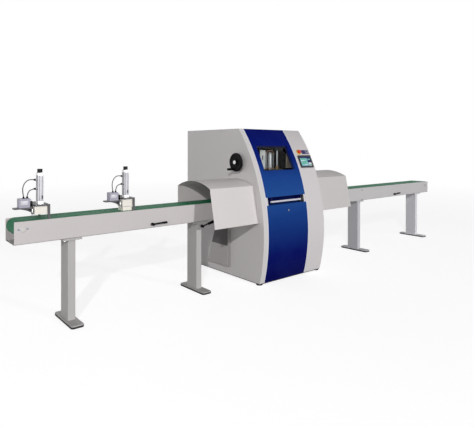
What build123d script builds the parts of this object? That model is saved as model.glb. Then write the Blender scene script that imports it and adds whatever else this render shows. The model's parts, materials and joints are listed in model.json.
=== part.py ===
"""Optimizing crosscut saw: curved housing, belt infeed and outfeed, pressers and the saw unit inside."""
import os
from math import asin, cos, pi, radians, sin, sqrt, tan

from build123d import *

os.makedirs("parts", exist_ok=True)

# Overall sizes, in millimetres. +X is the feed direction, -Y the operator's side, +Z up.
infeed_length = 2360.0
housing_width = 1000.0
outfeed_length = 3240.0
housing_depth = 1360.0
housing_height = 1690.0
working_height = 900.0
floor_gap = 20.0
front_radius = 1900.0
front_centre_height = 510.0

# Sheet thicknesses and play
sheet = 3.0
hood_sheet = 2.5
thin_sheet = 2.0
run_gap = 0.05
skin_gap = 0.3
door_gap = 3.0
belt_gap = 0.6
overcut = 5.0

# Front: light strip, blue part, control part, and the recess between the blue skins
strip_width = 70.0
blue_width = 640.0
lip_width = 30.0
fold_width = 10.0
cover_top = 852.0
hood_bottom = 937.0
recess_depth = 75.0
flange_depth = 40.0

# Hood hinge, measured from the hood's top edge
hinge_setback = 41.4
hinge_drop = 22.0
hinge_pin_radius = 6.0
hinge_boss_radius = 14.0
hinge_arm = 12.0
hinge_inset = 10.0
roof_gap = 1.6

# Window in the hood
window_width = 500.0
window_low = 1225.0
window_high = 1500.0
window_depth = 42.0
window_lip = 10.0
pane_thickness = 5.0

# Grab bar in the recess
handle_radius = 11.0
handle_height = 885.5
handle_length = 478.0
handle_start = 152.0
handle_arm = 8.0

# Controls on the front, right of the blue part
screen_width = 224.0
screen_height = 160.0
screen_thickness = 12.0
screen_border = 17.0
screen_level = 1307.0
button_level = 1420.0
stop_ring_radius = 34.0
stop_head_radius = 23.0
start_ring_radius = 17.0
stem_radius = 10.0
ring_height = 6.0
stop_travel = 4.0

# Conveyor beams, belts and rollers
beam_setback = 266.0
beam_width = 265.0
beam_height = 182.0
beam_wall = 4.0
beam_fold_radius = 12.0
belt_margin = 12.0
belt_thickness = 3.0
roller_radius = 60.0
shaft_radius = 12.5
shaft_tail = 80.0

# Hoods over the conveyors
infeed_hood_length = 597.0
outfeed_hood_length = 650.0
outfeed_hood_rise = 42.0

# Legs
column_x = 66.0
column_y = 171.0
column_wall = 5.0
foot_x = 105.0
foot_y = 420.0
foot_corner = 20.0
foot_thickness = 18.0
pad_thickness = 6.0
head_x = 160.0
head_y = 200.0
head_thickness = 15.0
anchor_spacing = 350.0
anchor_radius = 7.0

# Clamp levers
lever_stem_radius = 8.0
lever_hub_radius = 14.0
lever_reach = 150.0

# Saw unit
saw_inset = 480.0
blade_radius = 250.0
blade_thickness = 4.0
blade_teeth = 36
arbor_radius = 20.0
arbor_housing_radius = 55.0
flange_radius = 60.0
flange_thickness = 12.0
arbor_pulley_radius = 45.0
motor_pulley_radius = 60.0
pulley_width = 40.0
drive_belt_width = 34.0
drive_belt_thickness = 5.0
motor_radius = 100.0
motor_shaft_radius = 19.0
lift_column_radius = 20.0
lift_cylinder_radius = 45.0
lift_piston_radius = 35.0
lift_rod_radius = 12.5
table_thickness = 19.0

# Dust duct
duct_radius = 76.0
spout_radius = 80.0
spout_length = 60.0
collar = 4.0

# Overhead clamp
clamp_rod_radius = 10.0
clamp_cylinder_radius = 36.0
guide_radius = 15.0
clamp_beam_thickness = 50.0
bridge_bar = 60.0

# Handwheel
wheel_radius = 104.0
wheel_shaft_radius = 10.0
wheel_bearing_radius = 38.0
bearing_thickness = 20.0
grip_offset = 88.0
grip_angle = 298.0
grip_radius = 13.0
grip_length = 74.0
grip_pin_radius = 5.0
gearbox_size = 80.0

# Pressers
presser_lifts = (52.0, 0.0)
presser_rod_radius = 8.0
portal_plate = 12.0
post_width = 18.0
post_depth = 11.0
guide_box_x = 103.0
guide_box_y = 104.0
guide_box_wall = 5.0
shoe_thickness = 36.0
shoe_gap = 1.0
cylinder_x = 46.0
cylinder_y = 50.0
cap_radius = 20.0
fitting_length = 12.0
fitting_radius = 8.0
hose_radius = 4.0
hose_gap = 0.9

# Where the overall sizes put the housing: the origin is the middle of the floor area
total_length = infeed_length + housing_width + outfeed_length
infeed_end = -total_length / 2
left = infeed_end + infeed_length
right = left + housing_width
outfeed_end = right + outfeed_length
front_bulge = front_radius - sqrt(front_radius**2 - (front_centre_height - floor_gap) ** 2)
overall_depth = front_bulge + housing_depth + spout_length
front_apex = -overall_depth / 2
front = front_apex + front_bulge
rear = front + housing_depth
arc_centre_y = front_apex + front_radius
roof = housing_height - sheet
fascia_x = left + strip_width + blue_width

# Beams, belts and tunnel, which follow the working height and the beam's section
beam_front = front + beam_setback
beam_rear = beam_front + beam_width
beam_mid = beam_front + beam_width / 2
belt_width = beam_width - 2 * belt_margin
bed_top = working_height - belt_thickness
beam_bottom = bed_top - beam_height
roller_z = bed_top - belt_gap - roller_radius
roller_inset = roller_radius + belt_gap + belt_thickness + 2.4
hood_low = working_height - 232.0
hood_bend = working_height + 162.0
hood_crown = working_height + 229.0
hood_front_low = front + 10.0
hood_front_bend = front + 93.0
hood_back = beam_rear + 144.0
tunnel_front = beam_front - 26.0
tunnel_back = beam_rear + 29.0
tunnel_low = beam_bottom - 25.0
tunnel_high = working_height + 142.0
infeed_leg_xs = (left - 1904.0, left - 586.0)
outfeed_leg_xs = (right + 1249.0, right + 2901.0)
leg_y = beam_front + 25.0 + column_y / 2
lever_height = beam_bottom + 37.0
leg_lever_height = beam_bottom - 45.0

# Saw unit, which hangs from the table down
table_bottom = working_height - 1.0 - table_thickness
saw_x = left + saw_inset
saw_y = front + 400.0
saw_z = table_bottom - blade_radius - 40.0
motor_z = saw_z - 240.0
infeed_stop = saw_x - 100.0
outfeed_start = saw_x + 370.0
plate_x = saw_x + 280.0
plate_thickness = 20.0
pulley_x = plate_x + plate_thickness + 5.0
lift_x = plate_x - 60.0
lift_front = saw_y + 160.0
lift_rear = lift_front + 230.0
lift_mid = (lift_front + lift_rear) / 2

# Overhead clamp and handwheel, measured up from the working height
clamp_xs = (saw_x - 60.0, saw_x + 60.0)
guide_xs = (saw_x - 150.0, saw_x + 190.0)
clamp_shoe_low = working_height + 100.0
guide_rod_low = working_height + 180.0
lead_screw_low = working_height + 190.0
clamp_beam_low = working_height + 260.0
clamp_beam_high = clamp_beam_low + clamp_beam_thickness
bridge_low = working_height + 540.0
bridge_high = bridge_low + bridge_bar
bridge_post_y = lift_rear + 120.0
wheel_y = saw_y - 73.0
wheel_z = working_height + 412.0
screw_x = guide_xs[0] - 82.0

# Pressers, measured up from the working height
presser_xs = (left - 2150.0, left - 1393.0)
presser_y = beam_front + 66.0
portal_top = working_height + 118.0
portal_low = portal_top - portal_plate
guide_box_low = working_height + 40.0
shelf_bottom = working_height + 86.0
shelf_top = working_height + 97.0
valve_top = working_height + 170.0
lower_port = working_height + 242.0
upper_port = working_height + 315.0
cylinder_top = working_height + 370.0


def skin_y(height, inset=0.0):
    """Y of the curved front at a height, inset deep behind the outer skin."""
    return arc_centre_y - sqrt((front_radius - inset) ** 2 - (height - front_centre_height) ** 2)


def front_plane(x, height):
    """Plane lying on the curved front, its Z pointing straight out of the skin."""
    tilt = asin((height - front_centre_height) / front_radius)
    return Plane(origin=(x, skin_y(height), height), x_dir=(1, 0, 0), z_dir=(0, -cos(tilt), sin(tilt)))


def skin_strip(x, low, high, outer, inner):
    """Sketch of a curved strip between two depths behind the front, standing at x."""
    middle = (low + high) / 2
    with BuildSketch(Plane.YZ.offset(x)) as strip:
        with BuildLine():
            skin = ThreePointArc(
                (skin_y(low, outer), low), (skin_y(middle, outer), middle), (skin_y(high, outer), high)
            )
            back = ThreePointArc(
                (skin_y(high, inner), high), (skin_y(middle, inner), middle), (skin_y(low, inner), low)
            )
            Line(skin @ 1, back @ 0)
            Line(back @ 1, skin @ 0)
        make_face()
    return strip.sketch


def side_outline(x, back, top):
    """Sketch of a whole side of the housing, its front edge on the curved front."""
    middle = (floor_gap + top) / 2
    with BuildSketch(Plane.YZ.offset(x)) as side:
        with BuildLine():
            edge = ThreePointArc((skin_y(floor_gap), floor_gap), (skin_y(middle), middle), (skin_y(top), top))
            Polyline(edge @ 1, (back, top), (back, floor_gap), edge @ 0)
        make_face()
    return side.sketch


def hood_outline(x, rise, inset):
    """Sketch of the space under a conveyor hood, inset from its outer skin, open below."""
    drop = flange_depth if inset else 0.0
    corner_drop = 0.8 * inset
    low = hood_low + rise
    bend = hood_bend + rise - corner_drop
    slope = (hood_front_bend - hood_front_low) / (hood_bend - hood_low)
    with BuildSketch(Plane.YZ.offset(x)) as tunnel:
        with BuildLine():
            crown = ThreePointArc(
                (hood_front_bend + inset, bend),
                ((hood_front_bend + hood_back) / 2, hood_crown + rise - inset),
                (hood_back - inset, bend),
            )
            Polyline(
                crown @ 1,
                (hood_back - inset, low - drop),
                (hood_front_low + inset - slope * drop, low - drop),
                crown @ 0,
            )
        make_face()
    return tunnel.sketch


def block(x0, x1, y0, y1, z0, z1, mode=Mode.ADD):
    """Square block between six faces."""
    with Locations(((x0 + x1) / 2, (y0 + y1) / 2, (z0 + z1) / 2)):
        Box(x1 - x0, y1 - y0, z1 - z0, mode=mode)


def rod(start, axis, length, radius, mode=Mode.ADD):
    """Round bar or hole that starts at a point and runs along an axis."""
    with Locations(Plane(origin=start, z_dir=axis)):
        Cylinder(radius, length, align=(Align.CENTER, Align.CENTER, Align.MIN), mode=mode)


def save(builder, name):
    """Label a finished piece and write it out under its name."""
    builder.part.label = name
    export_step(builder.part, f"parts/{name}.step")


# Base frame: a ring of square tube with cross members and the posts that stand on it
tube = 60.0
table_post = 40.0
frame_top = floor_gap + tube
ring_left = left + sheet
ring_right = right - sheet
ring_front = front + 3 * sheet
ring_rear = rear - sheet
table_post_xs = (saw_x - 65.0, saw_x + 330.0)
table_post_ys = (saw_y - 150.0, saw_y + 180.0)
beam_post_xs = (infeed_stop - 170.0, ring_right - tube / 2)
cross_ys = (table_post_ys[0] + 10.0, table_post_ys[1] - 10.0, lift_rear + 10.0, bridge_post_y)
cross_xs = (beam_post_xs[0], saw_x + 120.0)
inside_xs = (ring_left + tube, ring_right - tube)
inside_ys = (ring_front + tube, ring_rear - tube)
with BuildPart() as base_frame:
    block(ring_left, ring_right, ring_front, ring_rear, floor_gap, frame_top)
    block(*inside_xs, *inside_ys, floor_gap, frame_top, Mode.SUBTRACT)
    for y in cross_ys:
        block(*inside_xs, y - tube / 2, y + tube / 2, floor_gap, frame_top)
    for x in cross_xs:
        block(x - tube / 2, x + tube / 2, *inside_ys, floor_gap, frame_top)
    for x in beam_post_xs:
        block(x - tube / 2, x + tube / 2, beam_mid - tube / 2, beam_mid + tube / 2, frame_top, beam_bottom)
    for x in table_post_xs:
        for y in table_post_ys:
            block(x - table_post / 2, x + table_post / 2, y - table_post / 2, y + table_post / 2, frame_top,
                  table_bottom)
save(base_frame, "base_frame")

foot_disc_radius = 35.0
foot_disc_height = 12.0
foot_stem_radius = 12.0
with BuildPart() as levelling_feet:
    for x in (ring_left + tube / 2, ring_right - tube / 2):
        for y in (ring_front + tube / 2, ring_rear - tube / 2):
            rod((x, y, 0), (0, 0, 1), foot_disc_height, foot_disc_radius)
            rod((x, y, foot_disc_height), (0, 0, 1), floor_gap - foot_disc_height, foot_stem_radius)
save(levelling_feet, "levelling_feet")

# Side panels, each folded with its own part of the front and a lip behind the blue skins
lip_depth = sheet + skin_gap
lip_top = housing_height - 90.0
strip_right = left + strip_width
with BuildPart() as infeed_side_panel:
    extrude(side_outline(left, rear - sheet, roof), amount=sheet)
    block(left - overcut, left + sheet + overcut, tunnel_front, tunnel_back, tunnel_low, tunnel_high,
          Mode.SUBTRACT)
    rod((left - overcut, wheel_y, wheel_z), (1, 0, 0), sheet + 2 * overcut, wheel_shaft_radius + 6,
        Mode.SUBTRACT)
    extrude(skin_strip(left, floor_gap, roof, 0, sheet), amount=strip_width)
    extrude(skin_strip(strip_right - fold_width, floor_gap, roof, 0, lip_depth + sheet), amount=fold_width)
    extrude(skin_strip(strip_right - fold_width, floor_gap, lip_top, lip_depth, lip_depth + sheet),
            amount=fold_width + lip_width)
save(infeed_side_panel, "infeed_side_panel")

screen_plane = front_plane(right - 137.0, screen_level)
stop_plane = front_plane(right - 200.0, button_level)
button_plane = front_plane(right - 100.0, button_level)
cutout_margin = 12.0
stem_hole_gap = 2.0
with BuildPart() as outfeed_side_panel:
    extrude(side_outline(right - sheet, rear - sheet, roof), amount=sheet)
    block(right - sheet - overcut, right + overcut, tunnel_front, tunnel_back, tunnel_low,
          tunnel_high + outfeed_hood_rise, Mode.SUBTRACT)
    extrude(skin_strip(fascia_x, floor_gap, roof, 0, sheet), amount=right - fascia_x)
    extrude(skin_strip(fascia_x, floor_gap, roof, 0, lip_depth + sheet), amount=fold_width)
    extrude(skin_strip(fascia_x - lip_width, floor_gap, lip_top, lip_depth, lip_depth + sheet),
            amount=fold_width + lip_width)
    with BuildSketch(screen_plane):
        Rectangle(screen_width - 2 * cutout_margin, screen_height - 2 * cutout_margin)
    extrude(amount=4 * overcut, both=True, mode=Mode.SUBTRACT)
    for plane in (stop_plane, button_plane):
        with BuildSketch(plane):
            Circle(stem_radius + stem_hole_gap)
        extrude(amount=4 * overcut, both=True, mode=Mode.SUBTRACT)
save(outfeed_side_panel, "outfeed_side_panel")

# Rear panel with louvres, the hole for the dust duct and two bulkhead fittings
shroud_low = saw_z - blade_radius - 20.0
duct_low = shroud_low + 25.0
duct_high = duct_low + 150.0
spout_z = (duct_low + duct_high) / 2
louvre_rows = 9
louvre_pitch = 26.0
louvre_slot = 8.0
louvre_half = 110.0
louvre_low = housing_height - 390.0
fitting_x = right - 160.0
with BuildPart() as rear_panel:
    block(left, right, rear - sheet, rear, floor_gap, roof)
    rod((saw_x, rear - sheet - overcut, spout_z), (0, 1, 0), sheet + 2 * overcut, duct_radius + skin_gap,
        Mode.SUBTRACT)
    for x in (left + 250.0, right - 250.0):
        for row in range(louvre_rows):
            z = louvre_low + louvre_pitch * row
            block(x - louvre_half, x + louvre_half, rear - sheet - overcut, rear + overcut, z,
                  z + louvre_slot, Mode.SUBTRACT)
    for z, radius, length in ((300.0, 20.0, 28.0), (420.0, 13.0, 34.0)):
        rod((fitting_x, rear, z), (0, 1, 0), length, radius)
save(rear_panel, "rear_panel")

# Top cover, cut back behind the hood's top edge and slotted for the hood's hinge arms
blue_left = left + strip_width + door_gap
blue_right = fascia_x - door_gap
inner_left = strip_right + lip_width + 4.0
inner_right = fascia_x - lip_width - 4.0
arm_lefts = (inner_left + hinge_inset, inner_right - hinge_inset - hinge_arm)
arm_slot_gap = 1.5
hinge_y = skin_y(housing_height) + hinge_setback
hinge_z = housing_height - hinge_drop
cover_front = skin_y(housing_height, sheet) + roof_gap
with BuildPart() as top_cover:
    block(left, right, skin_y(roof), rear, roof, housing_height)
    block(strip_right, fascia_x, skin_y(roof) - overcut, cover_front, roof - overcut,
          housing_height + overcut, Mode.SUBTRACT)
    for x in arm_lefts:
        block(x - arm_slot_gap, x + hinge_arm + arm_slot_gap, cover_front - overcut, hinge_y + 8.0,
              roof - overcut, housing_height + overcut, Mode.SUBTRACT)
save(top_cover, "top_cover")

# Lower blue cover: curved skin, top folded back into the recess behind the grab bar
latch_plane = front_plane(left + 395.0, 781.0)
latch_stem_radius = 6.0
recess_back = skin_y(cover_top) + recess_depth
with BuildPart() as lower_front_panel:
    extrude(skin_strip(blue_left, floor_gap, cover_top, 0, sheet), amount=blue_right - blue_left)
    block(inner_left, inner_right, skin_y(cover_top, 1), recess_back, cover_top - sheet, cover_top)
    block(inner_left, inner_right, recess_back - sheet, recess_back, cover_top - sheet, hood_bottom - 4.0)
    with BuildSketch(latch_plane):
        Circle(latch_stem_radius + run_gap)
    extrude(amount=4 * overcut, both=True, mode=Mode.SUBTRACT)
save(lower_front_panel, "lower_front_panel")

# Quarter-turn latch: knob with a raised bar outside, stem and cam inside
knob_radius = 11.0
knob_height = 7.0
latch_stem_length = 16.0
cam_thickness = 4.0
with BuildPart() as cover_latch:
    with BuildSketch(latch_plane.offset(skin_gap)):
        Circle(knob_radius)
    extrude(amount=knob_height)
    with BuildSketch(latch_plane.offset(skin_gap + knob_height)):
        Rectangle(1.6 * knob_radius, 5)
    extrude(amount=4)
    with BuildSketch(latch_plane.offset(-latch_stem_length)):
        Circle(latch_stem_radius)
    extrude(amount=latch_stem_length + skin_gap)
    with BuildSketch(latch_plane.offset(-latch_stem_length - cam_thickness)):
        Rectangle(14, 50)
    extrude(amount=cam_thickness)
save(cover_latch, "cover_latch")

# Upper blue hood: curved skin, window reveal, bottom flange and two hinge arms
window_z = (window_low + window_high) / 2
window_plane = front_plane((blue_left + blue_right) / 2, window_z)
window_tall = (window_high - window_low) / cos(asin((window_z - front_centre_height) / front_radius))
window_seat = thin_sheet - window_depth
arm_low = housing_height - 130.0
arm_high = housing_height - 35.0
with BuildPart() as hood_door:
    extrude(skin_strip(blue_left, hood_bottom, housing_height, 0, sheet), amount=blue_right - blue_left)
    with BuildSketch(window_plane.offset(-window_depth)):
        Rectangle(window_width + 2 * sheet, window_tall + 2 * sheet)
    extrude(amount=window_depth + overcut)
    with BuildSketch(window_plane.offset(window_seat)):
        Rectangle(window_width, window_tall)
    extrude(amount=window_depth + 4 * overcut, mode=Mode.SUBTRACT)
    with BuildSketch(window_plane.offset(-window_depth - overcut)):
        Rectangle(window_width - 2 * window_lip, window_tall - 2 * window_lip)
    extrude(amount=4 * overcut, mode=Mode.SUBTRACT)
    for x in arm_lefts:
        with BuildSketch(Plane.YZ.offset(x)):
            with BuildLine():
                Polyline(
                    (skin_y(arm_low, 1), arm_low),
                    (skin_y(arm_high, 1), arm_high),
                    (hinge_y, hinge_z + hinge_boss_radius),
                    (hinge_y, hinge_z - hinge_boss_radius),
                    close=True,
                )
            make_face()
            with Locations((hinge_y, hinge_z)):
                Circle(hinge_boss_radius)
                Circle(hinge_pin_radius + run_gap, mode=Mode.SUBTRACT)
        extrude(amount=hinge_arm)
    block(inner_left, inner_right, skin_y(hood_bottom, 1), skin_y(hood_bottom) + flange_depth, hood_bottom,
          hood_bottom + sheet)
    extrude(side_outline(blue_left, rear, housing_height), amount=blue_right - blue_left, mode=Mode.INTERSECT)
save(hood_door, "hood_door")

with BuildPart() as window_pane:
    with BuildSketch(window_plane.offset(window_seat)):
        Rectangle(window_width - 1, window_tall - 1)
    extrude(amount=pane_thickness)
save(window_pane, "window_pane")

# Grab bar hung under the hood's bottom flange
handle_y = skin_y(handle_height) + handle_radius + sheet
handle_left = left + handle_start
handle_right = handle_left + handle_length
with BuildPart() as hood_handle:
    rod((handle_left, handle_y, handle_height), (1, 0, 0), handle_length, handle_radius)
    for x in (handle_left, handle_right - handle_arm):
        block(x, x + handle_arm, handle_y - handle_radius + 2, handle_y + handle_radius - 2, handle_height,
              hood_bottom)
save(hood_handle, "hood_handle")

# Hinge brackets under the top cover, each with the pin that its hood arm turns on
bracket = 6.0
bracket_half = 18.0
bracket_gap = 2.0
bracket_lefts = (arm_lefts[0] + hinge_arm + bracket_gap, arm_lefts[1] - bracket_gap - bracket)
with BuildPart() as hinge_pins:
    for arm_x, x in zip(arm_lefts, bracket_lefts):
        block(x, x + bracket, hinge_y - bracket_half, hinge_y + bracket_half, hinge_z - bracket_half, roof)
        rod((min(arm_x, x) - 2, hinge_y, hinge_z), (1, 0, 0), hinge_arm + bracket_gap + bracket + 4,
            hinge_pin_radius)
save(hinge_pins, "hinge_pins")

# Control front: touch screen, emergency stop and a push button, all square to the curved skin
screen_recess = 3.0
screen_box = 45.0
with BuildPart() as touch_screen:
    with BuildSketch(screen_plane.offset(skin_gap)):
        RectangleRounded(screen_width, screen_height, 8)
    extrude(amount=screen_thickness)
    with BuildSketch(screen_plane.offset(skin_gap + screen_thickness - screen_recess)):
        Rectangle(screen_width - 2 * screen_border, screen_height - 2 * screen_border)
    extrude(amount=screen_recess, mode=Mode.SUBTRACT)
    with BuildSketch(screen_plane.offset(-screen_box)):
        Rectangle(screen_width - 2 * cutout_margin - 4, screen_height - 2 * cutout_margin - 4)
    extrude(amount=screen_box + skin_gap)
save(touch_screen, "touch_screen")

with BuildPart() as button_rings:
    for plane, radius in ((stop_plane, stop_ring_radius), (button_plane, start_ring_radius)):
        with BuildSketch(plane):
            Circle(radius)
            Circle(stem_radius + run_gap, mode=Mode.SUBTRACT)
        extrude(amount=ring_height)
save(button_rings, "button_rings")

stem_depth = 24.0
stop_head_height = 16.0
stop_head_low = ring_height + stop_travel + 1.5
with BuildPart() as stop_button:
    with BuildSketch(stop_plane.offset(-stem_depth)):
        Circle(stem_radius)
    extrude(amount=stem_depth + stop_head_low)
    with BuildSketch(stop_plane.offset(stop_head_low)):
        Circle(stop_head_radius)
    extrude(amount=stop_head_height)
    fillet(stop_button.faces().sort_by(Axis((0, 0, 0), stop_plane.z_dir))[-1].edges(), 5)
save(stop_button, "stop_button")

start_cap_height = 4.0
with BuildPart() as start_button:
    with BuildSketch(button_plane.offset(-stem_depth)):
        Circle(stem_radius)
    extrude(amount=stem_depth + ring_height + start_cap_height)
save(start_button, "start_button")

# Handwheel: dished wheel on a shaft that runs to the angle gearbox
with BuildPart() as handwheel_bearing:
    rod((left - bearing_thickness, wheel_y, wheel_z), (1, 0, 0), bearing_thickness, wheel_bearing_radius)
    rod((left - bearing_thickness - overcut, wheel_y, wheel_z), (1, 0, 0), bearing_thickness + 2 * overcut,
        wheel_shaft_radius + run_gap, Mode.SUBTRACT)
save(handwheel_bearing, "handwheel_bearing")

hub_gap = 2.0
hub_radius = 28.0
hub_length = 57.0
web_thickness = 12.0
rim_depth = 26.0
rim_width = 14.0
rim_bevel = 6.0
hub_right = left - bearing_thickness - hub_gap
hub_left = hub_right - hub_length
web_left = hub_left + 18.0
rim_left = hub_left + 10.0
rim_right = rim_left + rim_depth
rim_inside = wheel_radius - rim_width
shaft_end = screw_x - 12.0
grip_y = wheel_y + grip_offset * cos(radians(grip_angle))
grip_z = wheel_z + grip_offset * sin(radians(grip_angle))
grip_right = rim_left - 1.0
grip_bore = grip_length - 10.0
with BuildPart() as handwheel:
    with BuildSketch(Plane(origin=(0, wheel_y, wheel_z), x_dir=(1, 0, 0), z_dir=(0, -1, 0))):
        with BuildLine():
            Polyline(
                (hub_right, 0),
                (hub_right, hub_radius - 2),
                (web_left + web_thickness, hub_radius + 2),
                (web_left + web_thickness, 0.68 * wheel_radius),
                (rim_right, rim_inside),
                (rim_right, wheel_radius - rim_bevel),
                (rim_right - rim_bevel, wheel_radius),
                (rim_left + rim_bevel, wheel_radius),
                (rim_left, wheel_radius - rim_bevel),
                (rim_left, rim_inside),
                (web_left, 0.68 * wheel_radius),
                (web_left, hub_radius + 6),
                (hub_left, hub_radius),
                (hub_left, 0),
                close=True,
            )
        make_face()
    revolve(axis=Axis((0, wheel_y, wheel_z), (1, 0, 0)))
    rod((hub_right - 2, wheel_y, wheel_z), (1, 0, 0), shaft_end - hub_right + 2, wheel_shaft_radius)
    rod((rim_left + 15, grip_y, grip_z), (-1, 0, 0), 16 + grip_bore, grip_pin_radius)
save(handwheel, "handwheel")

with BuildPart() as handwheel_grip:
    rod((grip_right, grip_y, grip_z), (-1, 0, 0), grip_length, grip_radius)
    fillet(handwheel_grip.edges(), 4)
    rod((grip_right, grip_y, grip_z), (-1, 0, 0), grip_bore + 1, grip_pin_radius + run_gap, Mode.SUBTRACT)
save(handwheel_grip, "handwheel_grip")

# Slanted cover low on the infeed side, folded from sheet, open towards the panel
guard_depth = 45.0
guard_front = beam_rear - 50.0
guard_low = floor_gap + 96.0
guard_high = tunnel_low - 30.0
with BuildPart() as drive_guard:
    for inset, mode in ((0, Mode.ADD), (thin_sheet, Mode.SUBTRACT)):
        with BuildSketch(Plane.YZ.offset(left)):
            with BuildLine():
                Polyline(
                    (guard_front + inset, guard_low + inset),
                    (guard_front + 385 - inset, guard_low + inset),
                    (guard_front + 195 - inset, guard_high - inset),
                    (guard_front + inset, guard_high - inset),
                    close=True,
                )
            make_face()
        extrude(amount=inset - guard_depth, mode=mode)
save(drive_guard, "drive_guard")


def conveyor_hood(start, length, rise):
    """Folded sheet hood over a conveyor, open at both ends and below."""
    with BuildPart() as hood:
        extrude(hood_outline(start, rise, 0), amount=length)
        extrude(hood_outline(start - overcut, rise, hood_sheet), amount=length + 2 * overcut,
                mode=Mode.SUBTRACT)
    return hood


save(conveyor_hood(left - infeed_hood_length, infeed_hood_length, 0), "infeed_hood")
save(conveyor_hood(right, outfeed_hood_length, outfeed_hood_rise), "outfeed_hood")


def conveyor_beam(start, stop, lever_x):
    """Folded channel with a flat bed that carries the belt, drilled for its rollers and its lever."""
    bed_inset = roller_inset + 26.0
    with BuildPart() as beam:
        with BuildSketch(Plane.YZ.offset(start)):
            with Locations((beam_mid, (beam_bottom + bed_top) / 2)):
                outer = Rectangle(beam_width, beam_height)
            fillet(outer.vertices().group_by(Axis.Y)[0], beam_fold_radius)
            with Locations((beam_mid, (beam_bottom + bed_top) / 2 + beam_wall)):
                Rectangle(beam_width - 2 * beam_wall, beam_height, mode=Mode.SUBTRACT)
        extrude(amount=stop - start)
        block(start + bed_inset, stop - bed_inset, beam_front + 1, beam_rear - 1, bed_top - beam_wall,
              bed_top)
        for x in (start + roller_inset, stop - roller_inset):
            rod((x, beam_front - overcut, roller_z), (0, 1, 0), beam_width + 2 * overcut,
                shaft_radius + run_gap, Mode.SUBTRACT)
        rod((lever_x, beam_front - overcut, lever_height), (0, 1, 0), beam_wall + 2 * overcut,
            lever_stem_radius + run_gap, Mode.SUBTRACT)
    return beam


def conveyor_belt(start, stop):
    """Endless belt around the two rollers of a beam."""
    reach = stop - start - 2 * roller_inset
    inner = 2 * (roller_radius + belt_gap)
    with BuildPart() as belt:
        with BuildSketch(Plane.XZ.offset(-(beam_mid + belt_width / 2))):
            with Locations(((start + stop) / 2, roller_z)):
                SlotCenterToCenter(reach, inner + 2 * belt_thickness)
                SlotCenterToCenter(reach, inner, mode=Mode.SUBTRACT)
        extrude(amount=belt_width)
    return belt


def roller(x, tail):
    """Roller with its shaft; the tail is how far the shaft runs past the beam's rear side."""
    overhang = 2.0
    with BuildPart() as drum:
        rod((x, beam_mid - belt_width / 2 - overhang, roller_z), (0, 1, 0), belt_width + 2 * overhang,
            roller_radius)
        rod((x, beam_front, roller_z), (0, 1, 0), beam_width + tail, shaft_radius)
    return drum


infeed_lever_x = left - 1150.0
outfeed_lever_x = right + 2153.0
infeed_drive_x = infeed_stop - roller_inset
outfeed_drive_x = outfeed_start + roller_inset
save(conveyor_beam(infeed_end, infeed_stop, infeed_lever_x), "infeed_beam")
save(conveyor_beam(outfeed_start, outfeed_end, outfeed_lever_x), "outfeed_beam")
save(conveyor_belt(infeed_end, infeed_stop), "infeed_belt")
save(conveyor_belt(outfeed_start, outfeed_end), "outfeed_belt")
save(roller(infeed_drive_x, shaft_tail), "infeed_drive_roller")
save(roller(infeed_end + roller_inset, 0), "infeed_tail_roller")
save(roller(outfeed_drive_x, shaft_tail), "outfeed_drive_roller")
save(roller(outfeed_end - roller_inset, 0), "outfeed_tail_roller")

# Gearmotors on the rear side of the beams, their motors hanging down
gear_half = 58.0
gear_depth = 120.0
gear_low = roller_z - 70.0
belt_motor_radius = 60.0
belt_motor_length = 200.0
with BuildPart() as belt_gearmotors:
    for x in (infeed_drive_x, outfeed_drive_x):
        block(x - gear_half, x + gear_half, beam_rear, beam_rear + gear_depth, gear_low, roller_z + 60)
        rod((x, beam_rear + belt_motor_radius + 4, gear_low - belt_motor_length), (0, 0, 1),
            belt_motor_length, belt_motor_radius)
        rod((x, beam_rear - overcut, roller_z), (0, 1, 0), shaft_tail + 2 * overcut, shaft_radius + run_gap,
            Mode.SUBTRACT)
save(belt_gearmotors, "belt_gearmotors")

# Legs: foot plate with two anchor holes, hollow column and a head plate under the beam
column_low = pad_thickness + foot_thickness
column_high = beam_bottom - head_thickness
foot_mid = leg_y - 20.0
anchor_ys = (foot_mid - anchor_spacing / 2, foot_mid + anchor_spacing / 2)


def conveyor_legs(xs):
    """Legs standing at the given places along a beam."""
    with BuildPart() as stand:
        for x in xs:
            with BuildSketch(Plane.XY.offset(pad_thickness)):
                with Locations((x, foot_mid)):
                    RectangleRounded(foot_x, foot_y, foot_corner)
                with Locations((x, anchor_ys[0]), (x, anchor_ys[1])):
                    Circle(anchor_radius, mode=Mode.SUBTRACT)
            extrude(amount=foot_thickness)
            with BuildSketch(Plane.XY.offset(column_low)):
                with Locations((x, leg_y)):
                    RectangleRounded(column_x, column_y, 8)
                    Rectangle(column_x - 2 * column_wall, column_y - 2 * column_wall, mode=Mode.SUBTRACT)
            extrude(amount=column_high - column_low)
            block(x - head_x / 2, x + head_x / 2, beam_front, beam_front + head_y, column_high, beam_bottom)
    return stand


# The inner infeed leg also has a block for a clamp lever, in front of its column
lever_block_half = 30.0
lever_stem = 16.0
leg_lever_stem = 20.0
column_front = leg_y - column_y / 2
lever_leg_x = infeed_leg_xs[1]
leg_lever_x = lever_leg_x + 12.0
with BuildPart() as infeed_legs:
    add(conveyor_legs(infeed_leg_xs).part)
    block(lever_leg_x - lever_block_half, lever_leg_x + lever_block_half, beam_front, column_front + 2,
          leg_lever_height - lever_block_half, column_high)
    rod((leg_lever_x, beam_front - overcut, leg_lever_height), (0, 1, 0), leg_lever_stem + overcut + 2,
        lever_stem_radius + run_gap, Mode.SUBTRACT)
save(infeed_legs, "infeed_legs")
save(conveyor_legs(outfeed_leg_xs), "outfeed_legs")

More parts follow.
